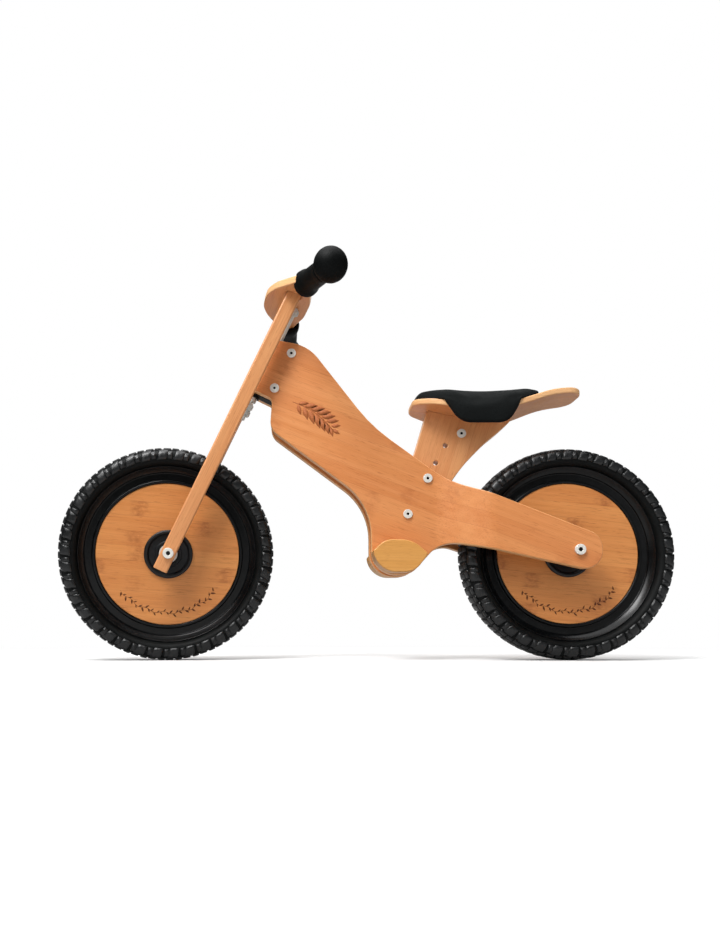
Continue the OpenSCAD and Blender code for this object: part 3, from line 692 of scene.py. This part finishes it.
def tyreSection(angle, drop):
    # radius and half width on the tyre's section; 90 is the middle of the tread, 0 the widest place
    radius, halfWidth = tyre["radius"] - drop, tyre["halfWidth"] - drop
    turn = math.radians(angle)
    if angle >= 0:
        flat = 0.72
        side = math.copysign(abs(math.cos(turn)) ** flat, math.cos(turn))
        return tyre["wideRadius"] + (radius - tyre["wideRadius"]) * math.sin(turn) ** flat, halfWidth * side
    inner = tyre["wideRadius"] + (tyre["wideRadius"] - tyre["seatRadius"]) * math.sin(turn) * 0.9
    return inner, tyre["seatHalfWidth"] + (halfWidth - tyre["seatHalfWidth"]) * math.cos(turn)


def treadPoint(round_, angle, lift):
    radius, side = tyreSection(min(angle, 180 - angle) if angle > 90 else angle, tyre["tread"])
    nextRadius, nextSide = tyreSection(min(angle + 1, 179 - angle) if angle > 90 else angle + 1, tyre["tread"])
    if angle > 90:
        side, nextSide = -side, -nextSide
    direction = Vector((nextSide - side, nextRadius - radius)).normalized()
    outward = Vector((direction.y, -direction.x))
    if angle > 90 and outward.y < 0 or angle <= 90 and (outward.x < -0.2 or outward.y < -0.2):
        outward = -outward
    side += outward.x * lift
    radius += outward.y * lift
    turn = math.radians(round_)
    return Vector((radius * math.sin(turn), -side, radius * math.cos(turn)))


def tyreCasing(work):
    angles = [-60 + 12 * i for i in range(5)] + [6 * i for i in range(0, 15)]
    section = [(tyre["seatRadius"], tyre["seatHalfWidth"])] + [tyreSection(a, tyre["tread"]) for a in angles]
    section += [(tyre["radius"] - tyre["tread"], 0)]
    section += [(radius, -side) for radius, side in reversed(section[:-1])]
    rings = []
    for step in range(tyre["steps"]):
        turn = math.tau * step / tyre["steps"]
        rings.append([work.verts.new((r * math.sin(turn), y, r * math.cos(turn))) for r, y in section])
    for step, ring in enumerate(rings):
        following = rings[(step + 1) % len(rings)]
        for i in range(len(section)):
            j = (i + 1) % len(section)
            work.faces.new((ring[i], ring[j], following[j], following[i]))


def pad(work, roundFrom, roundTo, angleFrom, angleTo, lift, base=-0.4 * mm, steps=3, slant=0.0):
    # one raised block: a domed top, a narrow rounded rim and sloping walls
    # slant leans its outer end round the tyre
    def layer(grow, height):
        spanRound, spanAngle = roundTo - roundFrom, angleTo - angleFrom
        rows = []
        for i in range(steps + 1):
            row = []
            for k in range(steps + 1):
                u = (i / steps - 0.5) * (1 + grow) + 0.5
                v = (k / steps - 0.5) * (1 + grow * 0.8) + 0.5
                outer = v if angleTo <= 90 else 1 - v
                round_ = roundFrom + spanRound * u + slant * outer
                row.append(work.verts.new(treadPoint(round_, angleFrom + spanAngle * v, height)))
            rows.append(row)
        edge = [rows[0][k] for k in range(steps)] + [rows[i][steps] for i in range(steps)]
        edge += [rows[steps][k] for k in range(steps, 0, -1)] + [rows[i][0] for i in range(steps, 0, -1)]
        return rows, edge

    rows, top = layer(-0.14, lift)
    for i in range(steps):
        for k in range(steps):
            work.faces.new((rows[i][k], rows[i + 1][k], rows[i + 1][k + 1], rows[i][k + 1]))
    previous = top
    for grow, height in ((0.0, lift - 0.4 * mm), (0.12, base)):
        rows, ring = layer(grow, height)
        for i, vertex in enumerate(previous):
            j = (i + 1) % len(previous)
            work.faces.new((vertex, previous[j], ring[j], ring[i]))
        inner = {v for row in rows for v in row} - set(ring)
        for vertex in inner:
            work.verts.remove(vertex)
        previous = ring


def treadSegment(work):
    # one pitch of the tread: a long block and a small stepped one on each shoulder, low bars across the crown
    lift = tyre["tread"]
    for mirror in (False, True):
        def side(first, last):
            return (180 - last, 180 - first) if mirror else (first, last)
        pad(work, -3.5, 1.7, *side(-16, 37), lift, slant=1.5)
        pad(work, 2.6, 5.2, *side(-8, 31), lift * 0.6)
        pad(work, 3.1, 5.0, *side(-3, 16), lift * 1.05, base=0.0, steps=2)
        pad(work, 0.4, 4.4, *side(44, 62), lift)
        pad(work, -3.9, -0.8, *side(47, 62), lift)
    pad(work, -4.3, -1.2, 69, 111, lift)
    pad(work, 0.4, 3.5, 72, 108, lift * 0.9)


def ringTree():
    tree, given = newTree("treadRing", [("Blocks", "Int"), ("Material", "Material")])
    points = put(tree, "GeometryNodePoints", {"Count": given["Blocks"]}).outputs[0]
    number = tree.nodes.new("GeometryNodeInputIndex").outputs[0]
    turn = divided(tree, times(tree, number, math.tau), given["Blocks"])
    rotation = vectorOf(tree, Y=turn)
    ring = put(tree, "GeometryNodeInstanceOnPoints", {
        "Points": points, "Instance": given["Geometry"], "Rotation": rotation}).outputs[0]
    return closeTree(tree, given, ring)


treadTree = ringTree()
for wheel, place in wheelFrames.items():
    casing = meshOf(tyreCasing, place)
    newPiece(wheel + "TyreCasing", casing, "tyreFoam", wheel + "_wheel", [wheel + "_tyre"])
    treadValues = {"Blocks": tyre["blocks"], "Material": finishes["treadFoam"]}
    grown(wheel + "TyreTread", meshOf(treadSegment), treadTree, treadValues, place,
          wheel + "_wheel")
print("tyres: 2 casings,", tyre["blocks"], "tread pitches each")

# steering rod: a core and a row of thread crests

rodPoints = [forkFrame.inverted() @ vertex.co for vertex in nodes["steering_rod"].data.vertices]
rodLow, rodHigh = min(point.z for point in rodPoints), max(point.z for point in rodPoints)
rod = {
    "x": 9 * mm,
    "crest": 4.0 * mm,
    "root": 3.35 * mm,
    "pitch": 1.5 * mm,
    "sides": 16,
}


def threadCrest(work):
    rings = []
    for share, radius in ((0, rod["root"]), (0.42, rod["crest"]), (0.58, rod["crest"]), (1, rod["root"])):
        height = share * rod["pitch"]
        turns = [math.tau * i / rod["sides"] for i in range(rod["sides"])]
        rings.append([work.verts.new((radius * math.cos(t), radius * math.sin(t), height)) for t in turns])
    for low, high in zip(rings, rings[1:]):
        for i in range(rod["sides"]):
            j = (i + 1) % rod["sides"]
            work.faces.new((low[i], low[j], high[j], high[i]))


def threadTree():
    sockets = [("Crests", "Int"), ("Pitch", "Float"), ("Core Radius", "Float"),
               ("Material", "Material")]
    tree, given = newTree("threadRow", sockets)
    number = tree.nodes.new("GeometryNodeInputIndex").outputs[0]
    height = times(tree, number, given["Pitch"])
    position = vectorOf(tree, Z=height)
    points = put(tree, "GeometryNodePoints", {"Count": given["Crests"], "Position": position}).outputs[0]
    row = put(tree, "GeometryNodeInstanceOnPoints", {
        "Points": points, "Instance": given["Geometry"]}).outputs[0]
    whole = times(tree, given["Crests"], given["Pitch"])
    core = put(tree, "GeometryNodeMeshCylinder", {
        "Vertices": rod["sides"], "Radius": given["Core Radius"], "Depth": whole}).outputs["Mesh"]
    raised = vectorOf(tree, Z=times(tree, whole, 0.5))
    lifted = put(tree, "GeometryNodeTransform", {"Geometry": core, "Translation": raised}).outputs[0]
    joined = tree.nodes.new("GeometryNodeJoinGeometry")
    tree.links.new(row, joined.inputs[0])
    tree.links.new(lifted, joined.inputs[0])
    return closeTree(tree, given, joined.outputs[0])


rodValues = {
    "Crests": int((rodHigh - rodLow) / rod["pitch"]),
    "Pitch": rod["pitch"],
    "Core Radius": rod["root"] + 0.02 * mm,
    "Material": finishes["zinc"],
}
rodPlace = forkFrame @ Matrix.Translation((rod["x"], 0, rodLow))
grown("steeringRod", meshOf(threadCrest), threadTree(), rodValues, rodPlace, "fork", ["steering_rod"])
print("steering rod:", rodValues["Crests"], "thread crests")

# burnt leaf marks: a vine round each cover and a sprig on each side plate

vine = {
    "radius": 79 * mm,
    "from": 218,
    "to": 322,
    "leaves": 34,
    "leafLength": 6.2 * mm,
    "leafWidth": 2.2 * mm,
    "sway": 1.6 * mm,
    "waves": 6,
    "stemSteps": 72,
    "stem": 0.55 * mm,
    "rise": 0.08 * mm,
    "depth": 0.3 * mm,
}


def flatShape(work, outline, low, high):
    # a closed thin plate over an outline in x and z, its face towards -y
    under = [work.verts.new((x, low, z)) for x, z in outline]
    over = [work.verts.new((x, high, z)) for x, z in outline]
    work.faces.new(under)
    work.faces.new(over[::-1])
    for i in range(len(outline)):
        j = (i + 1) % len(outline)
        work.faces.new((under[i], over[i], over[j], under[j]))


def leafOutline(length, width, steps=6):
    upper = [(length * i / steps, width / 2 * math.sin(math.pi * (i / steps) ** 0.8)) for i in range(steps + 1)]
    lower = [(x, -z) for x, z in reversed(upper[1:-1])]
    return upper + lower


def placed(outline, x, z, degrees):
    c, s = math.cos(math.radians(degrees)), math.sin(math.radians(degrees))
    return [(x + px * c - pz * s, z + px * s + pz * c) for px, pz in outline]


def ribbon(points, width):
    # both sides of a line, tapering to its ends
    left, right = [], []
    for i, (x, z) in enumerate(points):
        before, after = points[max(0, i - 1)], points[min(len(points) - 1, i + 1)]
        direction = Vector((after[0] - before[0], after[1] - before[1])).normalized()
        share = i / (len(points) - 1)
        half = width / 2 * (0.35 + 0.65 * math.sin(math.pi * min(1, max(0, share))) ** 0.4)
        left.append((x - direction.y * half, z + direction.x * half))
        right.append((x + direction.y * half, z - direction.x * half))
    return left + right[::-1]


def vineRadius(share):
    return vine["radius"] + vine["sway"] * math.sin(share * vine["waves"] * math.tau)


def vineStem(work):
    steps, points = vine["stemSteps"], []
    for i in range(steps + 1):
        turn = math.radians(vine["from"] + (vine["to"] - vine["from"]) * i / steps)
        radius = vineRadius(i / steps)
        points.append((radius * math.cos(turn), radius * math.sin(turn)))
    outline = ribbon(points, vine["stem"])
    half = len(outline) // 2
    low, high = -vine["rise"], vine["depth"]
    for i in range(half - 1):
        quad = [outline[i], outline[i + 1], outline[-i - 2], outline[-i - 1]]
        under = [work.verts.new((x, low, z)) for x, z in quad]
        over = [work.verts.new((x, high, z)) for x, z in quad]
        work.faces.new(under)
        work.faces.new(over[::-1])
        work.faces.new((under[0], over[0], over[1], under[1]))
        work.faces.new((under[2], over[2], over[3], under[3]))
        if i == 0:
            work.faces.new((under[3], over[3], over[0], under[0]))
        if i == half - 2:
            work.faces.new((under[1], over[1], over[2], under[2]))


def vineTree():
    sockets = [("Leaves", "Int"), ("Radius", "Float"), ("First Angle", "Float"),
               ("Last Angle", "Float"), ("Sway", "Float"), ("Waves", "Float"),
               ("Material", "Material")]
    tree, given = newTree("vineLeaves", sockets)
    number = tree.nodes.new("GeometryNodeInputIndex").outputs[0]
    share = divided(tree, plus(tree, number, 0.5), given["Leaves"])
    span = minus(tree, given["Last Angle"], given["First Angle"])
    turn = plus(tree, given["First Angle"], times(tree, share, span))
    wave = calc(tree, "SINE", times(tree, times(tree, share, given["Waves"]), math.tau))
    radius = plus(tree, given["Radius"], times(tree, wave, given["Sway"]))
    position = vectorOf(
        tree, X=times(tree, radius, calc(tree, "COSINE", turn)), Z=times(tree, radius, calc(tree, "SINE", turn)))
    points = put(tree, "GeometryNodePoints", {"Count": given["Leaves"], "Position": position}).outputs[0]
    odd = calc(tree, "MODULO", number, 2.0)
    lean = times(tree, minus(tree, odd, 0.5), 1.7)
    forward = plus(tree, plus(tree, turn, math.pi / 2), lean)
    rotation = vectorOf(tree, Y=times(tree, forward, -1.0))
    size = put(tree, "FunctionNodeRandomValue", {"Min": 0.7, "Max": 1.15, "Seed": 4}, data_type="FLOAT")
    value = [o for o in size.outputs if o.enabled][0]
    scale = vectorOf(tree, X=value, Y=1.0, Z=value)
    leaves = put(tree, "GeometryNodeInstanceOnPoints", {
        "Points": points, "Instance": given["Geometry"], "Rotation": rotation, "Scale": scale}).outputs[0]
    return closeTree(tree, given, leaves)


leafTree = vineTree()
coverFace = 12 * mm  # from the wheel's middle plane to a cover's outer face
vineValues = {
    "Leaves": vine["leaves"], "Radius": vine["radius"], "First Angle": math.radians(vine["from"]),
    "Last Angle": math.radians(vine["to"]), "Sway": vine["sway"], "Waves": float(vine["waves"]),
    "Material": finishes["vineBurn"],
}


def vineLeaf(work):
    flatShape(work, leafOutline(vine["leafLength"], vine["leafWidth"]), -vine["rise"], vine["depth"])


for wheel, place in wheelFrames.items():
    # the fork's own axes lean back, so the front vine is turned upright again
    upright = Matrix.Rotation(math.radians(-forkTilt), 4, "Y") if wheel == "front" else Matrix.Identity(4)
    for side, turned in (("Left", Matrix.Identity(4)), ("Right", Matrix.Rotation(math.pi, 4, "Z"))):
        at = place @ upright @ turned @ Matrix.Translation((0, -coverFace, 0))
        newPiece(wheel + "Vine" + side, meshOf(vineStem, at), "vineBurn", wheel + "_wheel")
        grown(wheel + "VineLeaves" + side, meshOf(vineLeaf), leafTree, vineValues, at,
              wheel + "_wheel")

sprig = {
    "at": (-101 * mm, 349 * mm),
    "tilt": -35,
    "length": 66 * mm,
    "leaves": 7,
    "leafLength": 21 * mm,
    "leafWidth": 8.5 * mm,
    "stem": 1.5 * mm,
    "bow": 5 * mm,
    "lean": 38,
    "faceY": 22 * mm,
}


def sprigPoint(share):
    return sprig["length"] * share, sprig["bow"] * math.sin(share * math.pi)


def plateSprig(work):
    low, high = -vine["rise"], vine["depth"]
    x0, z0 = sprig["at"]
    curve = [sprigPoint(i / 14) for i in range(15)]
    flatShape(work, placed(ribbon(curve, sprig["stem"]), x0, z0, sprig["tilt"]), low, high)
    for i in range(sprig["leaves"]):
        share = (i + 0.8) / (sprig["leaves"] + 0.4)
        size = 0.55 + 0.45 * math.sin(math.pi * share)
        x, z = sprigPoint(share)
        for lean in (sprig["lean"], -sprig["lean"]):
            leaf = leafOutline(sprig["leafLength"] * size, sprig["leafWidth"] * size, 8)
            c, s = math.cos(math.radians(lean)), math.sin(math.radians(lean))
            foot = (x + 1.6 * mm * c, z + 1.6 * mm * s)
            flatShape(work, placed(placed(leaf, *foot, lean), x0, z0, sprig["tilt"]), low, high)
    tip = placed(leafOutline(sprig["leafLength"] * 0.6, sprig["leafWidth"] * 0.6, 8), sprig["length"], 0, 0)
    flatShape(work, placed(tip, x0, z0, sprig["tilt"]), low, high)


for side, mirror in (("Left", 1), ("Right", -1)):
    at = Matrix.Diagonal((1, mirror, 1, 1)) @ Matrix.Translation((0, -sprig["faceY"], 0))
    mesh = meshOf(plateSprig, at)
    if mirror < 0:
        mesh.flip_normals()
    newPiece("sprig" + side, mesh, "sprigBurn", "frame")
print("leaf marks: 4 vines, 2 sprigs")

# seat cushion: a padded saddle over the board with a flap down each side

cushion = {
    "stations": 72,
    "topSteps": 12,
    "flapSteps": 9,
    "hemSteps": 3,
    "underSteps": 8,
    "overhang": 7.5 * mm,
    "flapThick": 6.5 * mm,
    "inset": 1.5 * mm,
    "startSmaller": 1.5 * mm,
    "endRound": 7 * mm,
    "widen": 34 * mm,
    "pressure": 4.0,
    "cap": 5 * mm,
}


def surfaceOf(node):
    mesh = nodes[node].data
    return BVHTree.FromPolygons([v.co for v in mesh.vertices], [p.vertices for p in mesh.polygons])


boardTree = surfaceOf("seat_board")
padTree = surfaceOf("seat_cushion")
padLow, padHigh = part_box("seat_cushion")
clearOfScrews = 8 * mm
flapProbe = 53 * mm  # a distance out from the middle that only the flap reaches


def hitHeight(tree, x, y, down=True):
    start, direction = (0.6, -1) if down else (0.2, 1)
    place = tree.ray_cast(Vector((x, y, start)), Vector((0, 0, direction)))[0]
    return place.z if place else None


def boardHalfWidth(x):
    low, high = clearOfScrews, 0.08
    for _ in range(14):
        middle = (low + high) / 2
        if hitHeight(boardTree, x, middle) is None:
            high = middle
        else:
            low = middle
    return low


def easeShare(value):
    share = min(1, max(0, value))
    return share * share * (3 - 2 * share)


flapStations = [x * mm for x in range(60, 260) if hitHeight(padTree, x * mm, flapProbe, down=False)]
flapFrom, flapTo = flapStations[0], flapStations[-1]


def cushionStation(x):
    # half of the section at x, from the middle of the top round the flap to the middle underneath
    ends = min(1, min(x - padLow.x, padHigh.x - x) / cushion["endRound"])
    boardTop = hitHeight(boardTree, x, clearOfScrews)
    crown = hitHeight(padTree, x, clearOfScrews) or boardTop
    full = 0.45 + 0.55 * math.sqrt(1 - (1 - ends) ** 2)
    crown = boardTop + max(1.6 * mm, (crown - boardTop) * full) - cushion["startSmaller"] * 0.6
    flapLow = hitHeight(padTree, x, flapProbe, down=False)
    drop = max(0.0, boardTop - flapLow) if flapLow is not None and flapLow < boardTop else 0.0
    hang = easeShare(drop / (9 * mm))
    # the top widens over the board's edge before the flap starts
    wide = easeShare((x - flapFrom) / cushion["widen"] + 0.5) * easeShare((flapTo - x) / cushion["widen"] + 0.5)
    half = boardHalfWidth(x) - cushion["inset"] * 1.6 + wide * (cushion["overhang"] + cushion["inset"])
    edgeHeight = boardTop + 1.2 * mm + hang * 1.0 * mm
    points = []
    for i in range(cushion["topSteps"]):
        turn = math.pi / 2 * i / cushion["topSteps"]
        points.append((half * math.sin(turn), edgeHeight + (crown - edgeHeight) * math.cos(turn) ** 0.75))
    low = edgeHeight - max(0.6 * mm, drop)
    thick = 1.2 * mm + hang * (cushion["flapThick"] - 1.2 * mm)
    for i in range(cushion["flapSteps"]):
        share = i / cushion["flapSteps"]
        belly = 1.6 * mm * math.sin(math.pi * share) * hang
        points.append((half + belly, edgeHeight + (low - edgeHeight) * share))
    for i in range(cushion["hemSteps"] + 1):
        turn = math.pi * i / cushion["hemSteps"]
        points.append((half - thick / 2 + thick / 2 * math.cos(turn), low - thick * 0.35 * math.sin(turn)))
    inside = half - thick
    under = boardTop + 0.15 * mm
    for i in range(1, cushion["flapSteps"] + 1):
        share = i / cushion["flapSteps"]
        points.append((inside, low + (min(under, edgeHeight - 0.6 * mm) - low) * share))
    for i in range(1, cushion["underSteps"] + 1):
        points.append((inside * (1 - i / cushion["underSteps"]), under))
    return points


def cushionLoft(work):
    inside = padHigh.x - padLow.x - 2 * mm
    rings = []
    for station in range(cushion["stations"] + 1):
        x = padLow.x + 1 * mm + inside * station / cushion["stations"]
        half = cushionStation(x)
        near = [work.verts.new((x, -y, z)) for y, z in half]
        far = [work.verts.new((x, y, z)) for y, z in reversed(half[1:-1])]
        rings.append(near + far)
    for ring, following in zip(rings, rings[1:]):
        for i in range(len(ring)):
            j = (i + 1) % len(ring)
            work.faces.new((ring[i], ring[j], following[j], following[i]))
    work.faces.new(rings[0])
    work.faces.new(rings[-1][::-1])


def puff(piece, held):
    # air pressure rounds the top and the flaps; the face on the board stays where it is
    mesh = piece.data
    before = [vertex.co.copy() for vertex in mesh.vertices]
    group = piece.vertex_groups.new(name="held")
    group.add(held, 1.0, "REPLACE")
    modifier = piece.modifiers.new("cloth", "CLOTH")
    settings = modifier.settings
    settings.quality = 5
    settings.mass = 0.3
    settings.tension_stiffness = settings.compression_stiffness = 22
    settings.bending_stiffness = 2.5
    settings.use_pressure = True
    settings.uniform_pressure_force = cushion["pressure"]
    settings.vertex_group_mass = "held"
    settings.effector_weights.gravity = 0
    modifier.point_cache.frame_start, modifier.point_cache.frame_end = 1, 20
    scene = bpy.context.scene
    for step in range(1, 21):
        scene.frame_set(step)
    settle(piece)
    scene.frame_set(1)
    for vertex, start in zip(piece.data.vertices, before):
        move = vertex.co - start
        if move.length > cushion["cap"]:
            vertex.co = start + move * (cushion["cap"] / move.length)
    piece.vertex_groups.clear()


cushionMesh = meshOf(cushionLoft)
cushionPiece = link(bpy.data.objects.new("cushion", cushionMesh))


def onBoard(vertex):
    top = hitHeight(boardTree, vertex.co.x, clearOfScrews)
    if top is None or vertex.co.z >= top + 0.4 * mm:
        return False
    return abs(vertex.co.y) < boardHalfWidth(vertex.co.x) + 2.2 * mm


held = [vertex.index for vertex in cushionMesh.vertices if onBoard(vertex)]
puff(cushionPiece, held)
subdivision = cushionPiece.modifiers.new("smooth", "SUBSURF")
subdivision.levels = subdivision.render_levels = 1
settle(cushionPiece)
cushionPiece.data.shade_smooth()
paint(cushionPiece.data, "seatCloth")
dress(cushionPiece, "frame", ["seat_cushion"])
print("cushion:", len(cushionPiece.data.vertices), "points,", len(held), "held")

# studio

studio = {
    "seen": 1.0,
    "ambient": 0.48,
    "mirrored": 0.05,
    "floorLook": 0.8,
    "floorBounce": 0.4,
    "floorFade": (0.42, 1.1),
    "floorSize": 12,
    # name, place, what it points at, size, power
    "lamps": [
        ("overhead", (-0.2, -0.2, 2.2), (0, 0, 0.1), 2.2, 40),
        ("side", (-1.4, -1.7, 1.9), (0, 0, 0.25), 1.0, 22),
        ("key", (-0.6, -0.95, 1.7), (0, 0, 0.25), 0.6, 22),
        ("fill", (1.8, -1.7, 0.7), (0, 0, 0.2), 1.6, 3),
        ("behind", (0.4, 2.2, 1.4), (0, 0, 0.2), 1.6, 10),
    ],
}


def addWorld(values):
    # the backdrop is plain white; what it casts and what mirrors in the blacks is dimmer
    world = bpy.data.worlds.new("studio")
    world.use_nodes = True
    tree = world.node_tree
    rays = tree.nodes.new("ShaderNodeLightPath").outputs
    dim = ramp(tree, rays["Is Glossy Ray"], 0, 1, values["ambient"], values["mirrored"], "LINEAR")
    strength = put(tree, "ShaderNodeMix", {0: rays["Is Camera Ray"], 2: dim, 3: values["seen"]}).outputs[0]
    tree.links.new(strength, tree.nodes["Background"].inputs["Strength"])
    tree.nodes["Background"].inputs["Color"].default_value = (1, 1, 1, 1)
    bpy.context.scene.world = world


def addFloor(values):
    # pale paper that runs into the backdrop away from the object
    size = values["floorSize"]
    mesh = bpy.data.meshes.new("floor")
    corners = [(-size, -size, 0), (size, -size, 0), (size, size, 0), (-size, size, 0)]
    mesh.from_pydata(corners, [], [(0, 1, 2, 3)])
    floor = link(bpy.data.objects.new("floor", mesh))
    material, tree, shader = newMaterial("floorPaper", Roughness=0.9, Specular_IOR_Level=0.0)
    seen = tree.nodes.new("ShaderNodeLightPath").outputs["Is Camera Ray"]
    shade = ramp(tree, seen, 0, 1, values["floorBounce"], values["floorLook"], "LINEAR")
    gray = put(tree, "ShaderNodeCombineColor", {0: shade, 1: shade, 2: shade}).outputs[0]
    tree.links.new(gray, shader.inputs["Base Color"])
    place = tree.nodes.new("ShaderNodeTexCoord").outputs["Object"]
    away = put(tree, "ShaderNodeVectorMath", {0: place}, operation="LENGTH").outputs["Value"]
    fade = times(tree, ramp(tree, away, *values["floorFade"]), seen)
    glow = put(tree, "ShaderNodeEmission", {"Color": (1, 1, 1, 1), "Strength": values["seen"]}).outputs[0]
    mixed = put(tree, "ShaderNodeMixShader", {0: fade, 1: shader.outputs[0], 2: glow}).outputs[0]
    tree.links.new(mixed, tree.nodes["Material Output"].inputs["Surface"])
    mesh.materials.append(material)


def addLamps(values):
    for name, place, target, size, power in values["lamps"]:
        data = bpy.data.lights.new(name, "AREA")
        data.size, data.energy = size, power
        lamp = link(bpy.data.objects.new(name, data))
        lamp.location = place
        lamp.rotation_euler = (Vector(target) - Vector(place)).to_track_quat("-Z", "Y").to_euler()


bpy.context.scene.view_settings.view_transform = "Standard"
addWorld(studio)
addFloor(studio)
addLamps(studio)
print("studio: floor, backdrop and", len(studio["lamps"]), "lamps")
